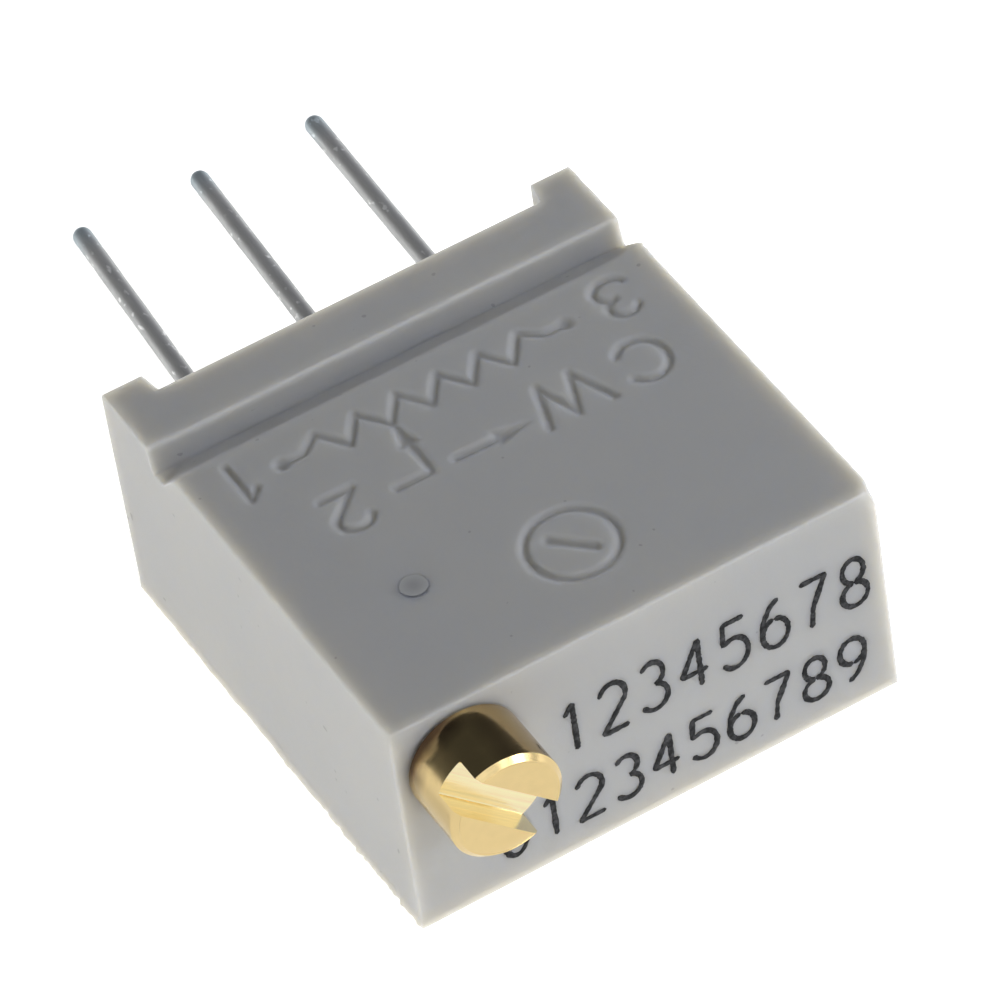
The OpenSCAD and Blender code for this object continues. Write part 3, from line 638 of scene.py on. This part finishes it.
def housingShell():
    # the lines lie closest where the marks, the groove and the standoffs are
    edge = shell["edge"]
    innerFoot = rightX - shell["footWidth"]
    xs = edgeLines(leftX, rightX, edge, lines(
        (leftX + edge, -innerFoot - 0.12, 14), (-innerFoot - 0.12, -innerFoot + 0.12, 10),
        (-innerFoot + 0.12, innerFoot - 0.12, 158), (innerFoot - 0.12, innerFoot + 0.12, 10),
        (innerFoot + 0.12, rightX - edge, 14)))
    ys = edgeLines(frontY, rearY, edge, lines(
        (frontY + edge, -4.05, 20), (-4.05, -1.95, 42), (-1.95, -0.75, 10), (-0.75, 2.3, 62),
        (2.3, grooveNear + 0.7, 20), (grooveNear + 0.7, grooveCrest + 0.06, 34),
        (grooveCrest + 0.06, rearY - edge, 22)))
    zs = edgeLines(0, topZ, edge, lines((edge, 3.2, 14), (3.2, topZ - edge, 10)))
    points, faces = boxShell(xs, ys, zs, 4)
    points = roundEdges(points, bodyLow, bodyHigh, edge)
    x, y, z = points.T.copy()
    onTop = z > topZ - edge
    # the lead side steps back between the standoffs
    inBand = smooth((y - (rearY - shell["footReach"])) / (shell["footReach"] - edge))
    y = y - shell["footHeight"] * standoffRecess(x) * inBand
    # the upper walls follow the groove down
    follow = smooth((z - (topZ - shell["grooveFollow"])) / (shell["grooveFollow"] - edge))
    z = z - grooveDrop(x, y) * follow
    flatTop = onTop & (np.abs(x) < rightX - edge) & (np.abs(y) < rearY - edge)
    z[flatTop] -= marks["depth"] * markDepth(x[flatTop], y[flatTop])
    # the long top edges are slightly ragged
    outward = np.sign(x) * smooth((np.abs(x) - (rightX - edge)) / edge)
    nearTop = bell(z - topZ, shell["edgeReach"])
    x = x + outward * nearTop * shell["ragged"] * ripple(y, z, 0.35, 3)
    # small burrs stand out along the front top edge and the right front edge
    atFront = smooth((frontY + edge - y) / edge)
    x = x + (x > 0) * outward * atFront * shell["burr"] * np.clip(ripple(z, 0, 0.22, 4) - 0.5, 0, 2)
    y = y - atFront * nearTop * shell["burr"] * np.clip(ripple(x, 0, 0.16, 7) - 0.6, 0, 2)
    # flash stands up in spikes at the groove's right end
    spikes = np.clip(ripple(y, 0, 0.16, 8), 0, None)
    spikes = spikes * bell(y - frontY - shell["spikesAt"], shell["spikeSpread"])
    flash = smooth((x - (rightX - edge)) / edge) * nearTop * spikes * shell["flashHeight"]
    x, z = x + flash, z + flash
    # torn flash runs along the left bottom edge, more so towards the front
    low = bell(z - shell["flashAt"], shell["flashSpread"]) * (x < leftX + edge)
    torn = 0.1 + 0.5 * smooth((0.5 - y) / 3)
    tears = 0.3 + 0.3 * ripple(y, 0, 1.1, 5) + torn * ripple(y, 0, 0.13, 6)
    x = x - low * shell["flashHeight"] * np.clip(tears, -0.8, 1.3)
    # the upper front corners are blunt
    toCorner = np.sqrt((np.abs(x) - rightX) ** 2 + (y - frontY) ** 2 + (z - topZ) ** 2)
    cut = shell["blunt"] * bell(toCorner, shell["bluntReach"])
    x, y, z = x - np.sign(x) * cut, y + cut, z - cut
    # the right side leans out towards the back face
    x = x + shell["draft"] * smooth(x / rightX * 4 - 3) * (1 - z / topZ)
    return makeMesh("dressedHousing", np.stack([x, y, z], -1), faces, [housingFinish])


hollow = {
    "backWall": 0.75, "sideWall": 0.6, "frontWall": 1.2, "ledge": 0.5, "slotRoom": 0.36,
    "wellDepth": 0.57, "wellRound": 0.3, "flare": 0.07,
    "boreRadius": 0.79, "boreFlare": 0.06, "boreDepth": 6.35, "tailRadius": 0.33, "tailDepth": 7.15,
    "pocketRadius": 3.05, "wheelHalf": 0.3, "wheelGap": 0.06, "carrier": 0.45,
    "stopRadius": 2.2, "stopWidth": 0.6, "stopClear": 0.05,
    "pinRadius": 0.25, "pinReach": 0.6,
}


def flaredWell():
    # the well's outline carried inwards from a rounded mouth
    seatY = rearY - shell["footHeight"]
    top = screwZ + hollow["wheelHalf"] + hollow["wheelGap"]
    width, height = bodyWidth - 2 * hollow["sideWall"], top - hollow["backWall"]
    flare = hollow["flare"]
    turn = np.linspace(0, np.pi / 2, 6)
    rows = [(seatY + 0.6, flare)]
    rows += [(seatY - flare + flare * np.cos(t), flare * (1 - np.sin(t))) for t in turn]
    rows.append((seatY - hollow["wellDepth"], 0.0))
    rings = []
    for y, out in rows:
        x, z = roundedOutline(width + 2 * out, height + 2 * out, hollow["wellRound"] + out).T
        rings.append(np.stack([x, np.full(len(x), y), z + (top + hollow["backWall"]) / 2], -1))
    points, faces = closeTube(np.array(rings))
    return makeMesh("wellTool", points, faces)


def hollowTools():
    # the spaces that the screw, the wheel, the substrate and the pin take up
    seatY = rearY - shell["footHeight"]
    openY = seatY - hollow["wellDepth"] + 0.1
    substrateLow, substrateHigh = nodeBox("ceramic_substrate")
    half = bodyWidth / 2 - hollow["sideWall"]
    fromY = frontY + hollow["frontWall"]
    slotTop = substrateHigh[2] + hollow["slotRoom"]
    slot = prism(rectangle([fromY, openY], [substrateLow[2], slotTop]), -half, half, 0)
    under = prism(rectangle([fromY, openY], [hollow["backWall"], slotTop - 0.05]),
                  -half + hollow["ledge"], half - hollow["ledge"], 0)
    radius = hollow["pocketRadius"]
    outline = np.concatenate([arc(wheelX, wheelY, radius, radius, 180, 360, 72),
                              [[wheelX + radius, openY], [wheelX - radius, openY]]])
    pocketTop = screwZ + hollow["wheelHalf"] + hollow["wheelGap"]
    pocket = makeMesh("pocketTool", *prism(outline, substrateLow[2] + 0.02, pocketTop, 2))
    low = screwZ - hollow["wheelHalf"] - hollow["carrier"] + hollow["stopClear"]
    stop = prism(rectangle([wheelX - hollow["stopWidth"] / 2, wheelX + hollow["stopWidth"] / 2],
                           [wheelY - radius - 0.5, wheelY - hollow["stopRadius"]]),
                 low, low + hollow["carrier"] - 2 * hollow["stopClear"], 2)
    cutOut(pocket, makeMesh("stopTool", *stop))
    flare = hollow["boreFlare"]
    turn = np.linspace(0, np.pi / 2, 6)
    bore = [(-0.5, hollow["boreRadius"] + flare)]
    bore += [(flare - flare * np.cos(t), hollow["boreRadius"] + flare * (1 - np.sin(t))) for t in turn]
    bore += [(hollow["boreDepth"], hollow["boreRadius"]), (hollow["boreDepth"], hollow["tailRadius"]),
             (hollow["tailDepth"], hollow["tailRadius"])]
    screwBore = lathe(bore, [screwX, frontY, screwZ], [0, 1, 0], 64)
    holeX, holeY = pinLow[:2] + hollow["pinRadius"]
    pinHole = lathe([(-hollow["pinReach"], hollow["pinRadius"]), (topZ - screwZ + 0.5, hollow["pinRadius"])],
                    [holeX, holeY, screwZ], [0, 0, 1], 64)
    return [flaredWell(), makeMesh("substrateTool", *slot), makeMesh("underTool", *under), pocket,
            makeMesh("boreTool", *screwBore), makeMesh("pinTool", *pinHole)]


housing = cutOut(housingShell(), *hollowTools())
housing.data.materials.clear()
housing.data.materials.append(housingFinish)
dress(housing, "case", "housing_plastic", "housing", sharp=40)
print("housing:", len(housing.data.polygons), "faces")


# adjustment screw
screw = {
    "headRadius": 1.075, "headHeight": 1.52, "headGap": 0.04, "chamfer": 0.1, "journal": 0.76,
    "ringAt": 1.1, "ringWidth": 0.38, "ringFloor": 0.49, "neckAt": 2.76, "neckWidth": 0.56, "neck": 0.54,
    "wormFrom": 3.45, "wormTo": 6.25, "wormTip": 0.755, "wormRoot": 0.445, "pitch": 0.5969,
    "toothShare": 0.45, "pitchRadius": 0.635, "flank": 20.0, "wheelAt": 4.85, "tail": 0.3, "tailTo": 7.1,
    "slotWidth": 0.68, "slotDepth": 0.58, "slotAngle": 45.0,
}


def wormRadius(angle):
    # one thread whose radius falls from tip to root along straight flanks
    fall = screw["wormTip"] - screw["wormRoot"]
    lean = math.tan(math.radians(screw["flank"])) / screw["pitch"] * 360
    tipHalf = screw["toothShare"] * 180 - (screw["wormTip"] - screw["pitchRadius"]) * lean
    off = np.abs((angle + 180) % 360 - 180)
    return screw["wormTip"] - fall * np.clip((off - tipHalf) / (fall * lean), 0, 1)


def screwSurface():
    # rings of points along the axis; the thread's radius also depends on the angle
    sides, tiny = 96, 1e-3
    head, up, gap = screw["headRadius"], -screw["headHeight"], screw["headGap"]
    chamfer, journal, edge = screw["chamfer"], screw["journal"], 0.02
    inner, under = head - chamfer, up + chamfer
    rows = [(up, r) for r in np.linspace(0.08, inner - 0.05, 6)]
    # a fine turned line runs round the end face, inside the chamfer
    rows += [(up + 0.008, inner - 0.03), (up, inner - 0.012)]
    rows += [(up + 0.003, inner), (up + 0.009, inner + 0.006), (under - 0.006, head - 0.009)]
    rows += [(under, head - 0.003), (under + edge, head)]
    rows += [(y, head) for y in np.linspace(under + 0.1, -gap - 0.05, 10)]
    rows += [(-gap - 0.015, head - 0.005), (-gap, head - 0.02)]
    for middle, width, floor in ((screw["ringAt"], screw["ringWidth"], screw["ringFloor"]),
                                 (screw["neckAt"], screw["neckWidth"], screw["neck"])):
        low, high = middle - width / 2, middle + width / 2
        rows += [(rows[-1][0] + 1e-4, journal), (low, journal), (low, floor), (high, floor), (high, journal)]
    rows += [(screw["wormFrom"], journal)]
    along = [(y, None) for y in np.linspace(screw["wormFrom"] + tiny, screw["wormTo"], 116)]
    tail, end = screw["tail"], screw["tailTo"]
    last = [(screw["wormTo"] + tiny, tail), (end - 0.03, tail), (end, tail - 0.03), (end, 0.05)]
    turn = np.linspace(0, 2 * np.pi, sides, endpoint=False)
    rings = []
    for y, radius in rows + along + last:
        if radius is None:
            # the tooth that meets the wheel's middle plane stands on the +X side
            radius = wormRadius(np.degrees(turn) + 180 - 360 * (y - screw["wheelAt"]) / screw["pitch"])
        rings.append(np.stack([screwX - radius * np.cos(turn), np.full(sides, frontY + y),
                               screwZ + radius * np.sin(turn)], -1))
    return closeTube(np.array(rings))


def slotTool():
    # milling cutter's path across the head, with slightly rounded lower corners
    half, deep, bend, reach = screw["slotWidth"] / 2, screw["slotDepth"], 0.03, 1.6
    corner = [[half, deep - bend], [half - 0.3 * bend, deep - 0.3 * bend], [half - bend, deep]]
    section = np.array([[-x, y] for x, y in corner] + corner[::-1] + [[half, -1.0], [-half, -1.0]])
    a = math.radians(screw["slotAngle"])
    along = np.array([math.cos(a), 0, -math.sin(a)])
    across = np.array([math.sin(a), 0, math.cos(a)])
    origin = np.array([screwX, frontY - screw["headHeight"], screwZ])
    path = origin + section[:, :1] * across + section[:, 1:] * np.array([0, 1.0, 0])
    points, faces = closeTube(np.array([path - reach * along, path + reach * along]))
    tool = makeMesh("slotTool", points, faces, [brassFinish, slotFinish])
    tool.data.polygons.foreach_set("material_index", [1] * len(tool.data.polygons))
    return tool


brassScrew = makeMesh("brassScrew", *screwSurface(), [brassFinish, slotFinish])
cutOut(brassScrew, slotTool())
dress(brassScrew, "screw", "brass", "adjustment_screw", sharp=30)
print("screw:", len(brassScrew.data.polygons), "faces")


# retaining pin
pin = {"colour": (0.345, 0.348, 0.352), "bevel": 0.02, "below": 0.001}
pinX, pinY = ((pinLow + pinHigh) / 2)[:2]
pinRadius = (pinHigh[0] - pinLow[0]) / 2
pinLook = dict(plasticLook, scatter=0.0, colour=pin["colour"], warm=pin["colour"])
# the pin's end is painted darker, most in its middle: painted shade of a shallow dimple
pinFinish = housingPlastic(pinLook, "pinPlastic", (pinX, pinY, pinRadius))


def pinSurface():
    # a plain rod whose end is pressed flush
    length, bevel = topZ - pin["below"] - pinLow[2], pin["bevel"]
    rows = [(0, 0.05), (0, pinRadius - bevel), (bevel, pinRadius), (length, pinRadius)]
    rows += [(length, pinRadius * 0.5), (length, 0.03)]
    return lathe(rows, [pinX, pinY, pinLow[2]], [0, 0, 1], 40)


retainingPin = makeMesh("pinEnd", *pinSurface(), [pinFinish])
dress(retainingPin, "case", "pin_plastic", "retaining_pin", sharp=40)


# leads
wire = {"core": 0.16, "radius": 0.19, "uneven": 0.002, "rows": 90, "sides": 28}
# number, middle, direction and length of each lead
leads = [(m["name"][-1], np.array(m["pos_m"]) / mm, np.array(m["axis"]), m["dims"]["length_mm"])
         for m in frame["record"]["mounts"] if m["name"].startswith("lead_pin")]


def leadSurface(name, middle, along, length, seed):
    # a thin core, then the tinned wire to a half-round tip, with small lumps in the tin
    start = middle - along * (length / 2)
    back = (start[1] - nodeBox("lead_" + name)[0][1]) / along[1]
    radius, core = wire["radius"], wire["core"]
    tip = np.linspace(0, np.pi / 2, 9)[:-1]
    rows = [(-back, 0.04), (-back, core), (-0.03, core), (-0.01, core + 0.02), (0.02, radius)]
    rows += [(s, radius) for s in np.linspace(0.06, length, wire["rows"])]
    rows += [(length + radius * math.sin(t), radius * math.cos(t)) for t in tip[1:]]
    points, faces = lathe(rows, start, along, wire["sides"])
    # the lumps push points in, so that the wire keeps its outer size
    reach = (points - start) @ along
    side = points - start - reach[:, None] * along
    turn = np.arctan2(side[:, 2], side[:, 0])
    lumps = ripple(reach, turn * radius, 0.5, seed) + 0.6 * ripple(reach, turn * radius, 0.16, seed + 20)
    pull = wire["uneven"] * np.clip(lumps + 1, 0, 2) * (reach > 0.1) * (reach < length + 0.1)
    return points - side * (pull / radius)[:, None], faces


for seed, lead in enumerate(leads, 40):
    wirePiece = makeMesh("lead" + lead[0] + "Wire", *leadSurface(*lead, seed), [wireFinish])
    dress(wirePiece, "case", "tinned_copper", "lead_" + lead[0], sharp=50)
print("leads made")


# resin
resin = {"rise": 0.09, "reach": 0.3, "wire": 0.08}


def resinSurface():
    # the well's filling, whose face climbs the walls and the wires like a cured liquid
    low, high = nodeBox("resin_seal")
    r = hollow["wellRound"]
    xs = edgeLines(low[0], high[0], r, np.linspace(low[0] + r, high[0] - r, 100), 6)
    zs = edgeLines(low[2], high[2], r, np.linspace(low[2] + r, high[2] - r, 36), 6)
    points, faces = boxShell(xs, zs, np.linspace(0, 1, 4), 6)
    flat = np.array([[low[0], low[2], 0], [high[0], high[2], 1]])
    inside = roundEdges(points, flat[0], flat[1], r, (0, 1))
    x, z, depth = inside.T
    wall = np.minimum(np.minimum(x - low[0], high[0] - x), np.minimum(z - low[2], high[2] - z))
    climb = resin["rise"] * np.exp(-wall / resin["reach"] * 2.2)
    for _, at, along, _ in leads:
        lean = along[0] / along[1] * (high[1] - at[1])
        away = np.hypot(x - at[0] - lean, z - at[2])
        climb = climb + resin["wire"] * np.exp(-np.clip(away - wire["core"], 0, 9) / 0.12)
    face = high[1] - 0.05 + climb + 0.012 * ripple(x, z, 1.4, 31)
    y = np.where(depth > 0.99, face, low[1] + depth * (high[1] - 0.08 - low[1]))
    # X, Z and depth make a left-handed set, so the faces are turned round
    return np.stack([x, y, z], -1), [f[::-1] for f in faces]


resinSeal = makeMesh("resinFilling", *resinSurface(), [resinFinish])
for _, at, along, _ in leads:
    hole = lathe([(-6, wire["core"] + 0.004), (6, wire["core"] + 0.004)], at, along, 28)
    cutOut(resinSeal, makeMesh("wireTool", *hole))
resinSeal.data.materials.clear()
resinSeal.data.materials.append(resinFinish)
dress(resinSeal, "case", "resin", "resin_seal", sharp=45)
print("resin made")


# printed numbers on the screw face
printing = {
    "stroke": 0.112, "proud": 0.008, "sides": 8,
    "rows": [
        {"digits": range(1, 9), "from": -1.42, "step": 0.8, "foot": 2.35, "height": 1.12, "width": 0.86},
        {"digits": range(10), "from": -2.8, "step": 0.755, "foot": 0.62, "height": 1.0, "width": 0.84},
    ],
}


def ribbon(path, seed):
    # a flat stroke swept along its path, round at both ends, its edges slightly ragged
    steps = np.concatenate([[0], np.cumsum(np.linalg.norm(np.diff(path, axis=0), axis=1))])
    count = max(8, int(steps[-1] / 0.035))
    s = np.linspace(0, steps[-1], count)
    path = np.stack([np.interp(s, steps, path[:, 0]), np.interp(s, steps, path[:, 1])], -1)
    for _ in range(2):
        path[1:-1] = (path[:-2] + 2 * path[1:-1] + path[2:]) / 4
    along = np.gradient(path, axis=0)
    along = along / np.linalg.norm(along, axis=1)[:, None]
    across = np.stack([-along[:, 1], along[:, 0]], -1)
    half = printing["stroke"] / 2
    end = np.minimum(s, s[-1] - s)
    taper = np.sqrt(np.clip(1 - (1 - np.clip(end / half, 0.02, 1)) ** 2, 0, 1))
    width = half * taper * (1 + 0.12 * ripple(s, 0, 0.09, seed) + 0.1 * ripple(s, 0, 0.4, seed + 500))
    turn = np.linspace(0, 2 * np.pi, printing["sides"], endpoint=False)
    flat = path[:, None, :] + (width[:, None] * np.cos(turn))[:, :, None] * across[:, None, :]
    out = printing["proud"] * np.sin(turn)[None, :] * taper[:, None]
    return closeTube(np.stack([flat[:, :, 0], frontY - out, flat[:, :, 1]], -1))


def numberSurface():
    points, faces, count, seed = [], [], 0, 60
    for row in printing["rows"]:
        for column, value in enumerate(row["digits"]):
            middle = np.array([row["from"] + column * row["step"], row["foot"] + row["height"] / 2])
            for stroke in digit(value):
                strokePoints, strokeFaces = ribbon(stroke * [row["width"], row["height"]] + middle, seed)
                points.append(strokePoints)
                faces += [[i + count for i in face] for face in strokeFaces]
                count += len(strokePoints)
                seed += 1
    return np.concatenate(points), faces


numbers = makeMesh("printedNumbers", *numberSurface(), [inkFinish])
dress(numbers, "case", "housing_plastic")
print("numbers printed")


# floor, lights and camera
studio = {
    # the dome's strength at heights 0 to 1 of its direction, from the horizon to overhead
    "dome": [(0.0, 0.6), (0.06, 0.4), (0.14, 0.18), (0.26, 0.08), (0.45, 0.065), (0.7, 0.052), (1.0, 0.05)],
    "domeColour": (0.95, 0.985, 1.04), "backdrop": 0.06,
    "floorSize": 600, "floorColour": 0.8, "floorRough": 0.9,
    "floorWhite": 0.8, "floorMirrored": 0.42, "floorGlow": 0.37, "floorUnder": 0.95,
    # name, azimuth, elevation, strength, colour and size of each soft lamp
    "lamps": [
        ("leftLow", -90, 6, 1.14, (1.0, 0.985, 0.925), (60, 16)),
        ("frontLow", 0, 7, 0.54, (1.0, 0.99, 0.94), (60, 16)),
        ("frontHigh", 0, 30, 0.336, (0.97, 0.99, 1.03), (130, 70)),
        ("rightFront", 60, 30, 1.03, (0.97, 0.99, 1.03), (90, 45)),
        ("right", 90, 30, 0.7, (0.97, 0.99, 1.03), (60, 30)),
        ("rightLow", 90, 6, 0.35, (1.0, 0.985, 0.94), (60, 16)),
        ("back", -150, 10, 0.79, (0.98, 0.99, 1.02), (60, 16)),
        ("card", 45, 28, 0.43, (1.0, 1.0, 1.0), (125, 95)),
    ],
    # the back lamp makes no highlights, and the card shows only in the polished brass
    "notMirrored": "back", "onlyMirrored": "card",
    "lampDistance": 150, "lampPower": 0.1, "lampTarget": 2,
}


def anyOf(tree, *rays):
    # 1 where the ray is one of these kinds
    path = addNode(tree, "LightPath")
    seen = path.outputs[rays[0]]
    for ray in rays[1:]:
        seen = calculate(tree, "MAXIMUM", seen, path.outputs[ray])
    return seen


def makeWorld():
    # a dome that is brightest at the horizon; its white backdrop shows to camera rays everywhere,
    # and to glossy and transmission rays low down, behind the floor
    world = bpy.data.worlds.new("studio")
    bpy.context.scene.world = world
    world.use_nodes = True
    tree = world.node_tree
    direction = addNode(tree, "TexCoord").outputs["Generated"]
    height = addNode(tree, "SeparateXYZ", {0: direction}).outputs["Z"]
    curve = addNode(tree, "FloatCurve", {"Value": height})
    points = curve.mapping.curves[0].points
    for location in studio["dome"][1:-1]:
        points.new(*location)
    for point, location in zip(points, studio["dome"]):
        point.location = location
        point.handle_type = "VECTOR"
    curve.mapping.update()
    low = calculate(tree, "LESS_THAN", height, studio["backdrop"])
    behind = calculate(tree, "MULTIPLY", low, anyOf(tree, "Is Glossy Ray", "Is Transmission Ray"))
    white = calculate(tree, "MAXIMUM", behind, anyOf(tree, "Is Camera Ray"))
    dome = tree.nodes["Background"]
    setInputs(tree, dome, {"Color": (*studio["domeColour"], 1), "Strength": curve.outputs[0]})
    backdrop = addNode(tree, "Background", {"Color": (1, 1, 1, 1), "Strength": 1.0})
    mixed = addNode(tree, "MixShader", {0: white, 1: dome.outputs[0], 2: backdrop.outputs[0]})
    tree.links.new(mixed.outputs[0], tree.nodes["World Output"].inputs["Surface"])


def makeFloor():
    # a pale floor that is white to camera, glossy and transmission rays but for its contact
    # shadow, and that glows a little on the object, as a lit white table does
    half = studio["floorSize"]
    corners = [[x, y, 0] for x, y in rectangle((-half, half), (-half, half))]
    floor = makeMesh("floor", corners, [[0, 1, 2, 3]], flat=True)
    material, tree, out = shader("paleFloor")
    setInputs(tree, out, {
        "Base Color": (studio["floorColour"],) * 3 + (1,), "Roughness": studio["floorRough"],
        "Specular IOR Level": 0.0})
    # the table is brightest right under the object, and its light scatters up the sides
    away = vectorNode(tree, "ABSOLUTE", place(tree)).outputs[0]
    away = addNode(tree, "SeparateXYZ", {0: away})
    inWidth = calculate(tree, "LESS_THAN", away.outputs["X"], rightX)
    inLength = calculate(tree, "LESS_THAN", away.outputs["Y"], rearY)
    under = calculate(tree, "MULTIPLY", inWidth, inLength)
    glow = level(tree, under, studio["floorGlow"], studio["floorUnder"], 0, 1)
    mirrored = anyOf(tree, "Is Glossy Ray", "Is Transmission Ray")
    strength = addNode(tree, "Mix", {0: mirrored, 2: glow, 3: studio["floorMirrored"]})
    strength = addNode(tree, "Mix", {
        0: anyOf(tree, "Is Camera Ray"), 2: strength.outputs[0], 3: studio["floorWhite"]})
    light = addNode(tree, "Emission", {
        "Color": (1, 0.99, 0.96, 1), "Strength": strength.outputs[0]})
    both = addNode(tree, "AddShader", {0: out.outputs[0], 1: light.outputs[0]})
    tree.links.new(both.outputs[0], tree.nodes["Material Output"].inputs["Surface"])
    floor.data.materials.append(material)


def makeLamp(name, azimuth, elevation, strength, colour, size):
    # a soft rectangular lamp that faces the object from its azimuth and elevation
    turn, rise = math.radians(azimuth), math.radians(elevation)
    away = Vector((math.sin(turn) * math.cos(rise), -math.cos(turn) * math.cos(rise), math.sin(rise)))
    lamp = bpy.data.lights.new(name, "AREA")
    lamp.shape, lamp.size, lamp.size_y = "RECTANGLE", size[0] * mm, size[1] * mm
    lamp.energy, lamp.color = studio["lampPower"] * strength, colour
    holder = addObject(name, lamp)
    holder.location = (away * studio["lampDistance"] + Vector((0, 0, studio["lampTarget"]))) * mm
    holder.rotation_mode = "QUATERNION"
    holder.rotation_quaternion = (-away).to_track_quat("-Z", "Y")
    holder.visible_camera = False
    holder.visible_glossy = name != studio["notMirrored"]
    holder.visible_diffuse = name != studio["onlyMirrored"]


view = {
    "azimuth": -24.183, "elevation": 44.995, "roll": -9.113, "target": (0.529, 0.809, 2.4),
    "distance": 129.68, "sensor": 36, "zoom": 7.4516,
}


def makeCamera():
    # a long lens seen from the front left and above, rolled clockwise
    azimuth, elevation, roll = (math.radians(view[key]) for key in ("azimuth", "elevation", "roll"))
    flat = math.cos(elevation)
    back = Vector((math.sin(azimuth) * flat, -math.cos(azimuth) * flat, math.sin(elevation)))
    right = Vector((0, 0, 1)).cross(back).normalized()
    up = back.cross(right)
    rightRolled = math.cos(roll) * right + math.sin(roll) * up
    upRolled = -math.sin(roll) * right + math.cos(roll) * up
    lens = bpy.data.cameras.new("camera")
    lens.sensor_width, lens.lens = view["sensor"], view["sensor"] * view["zoom"]
    lens.clip_start, lens.clip_end = 0.01, 10
    camera = addObject("camera", lens)
    turn = Matrix((rightRolled, upRolled, back)).transposed().to_4x4()
    turn.translation = (Vector(view["target"]) + back * view["distance"]) * mm
    camera.matrix_world = turn
    bpy.context.scene.camera = camera


makeWorld()
makeFloor()
for lampRow in studio["lamps"]:
    makeLamp(*lampRow)
makeCamera()
bpy.context.scene.view_settings.view_transform = "Standard"

print("scene done")
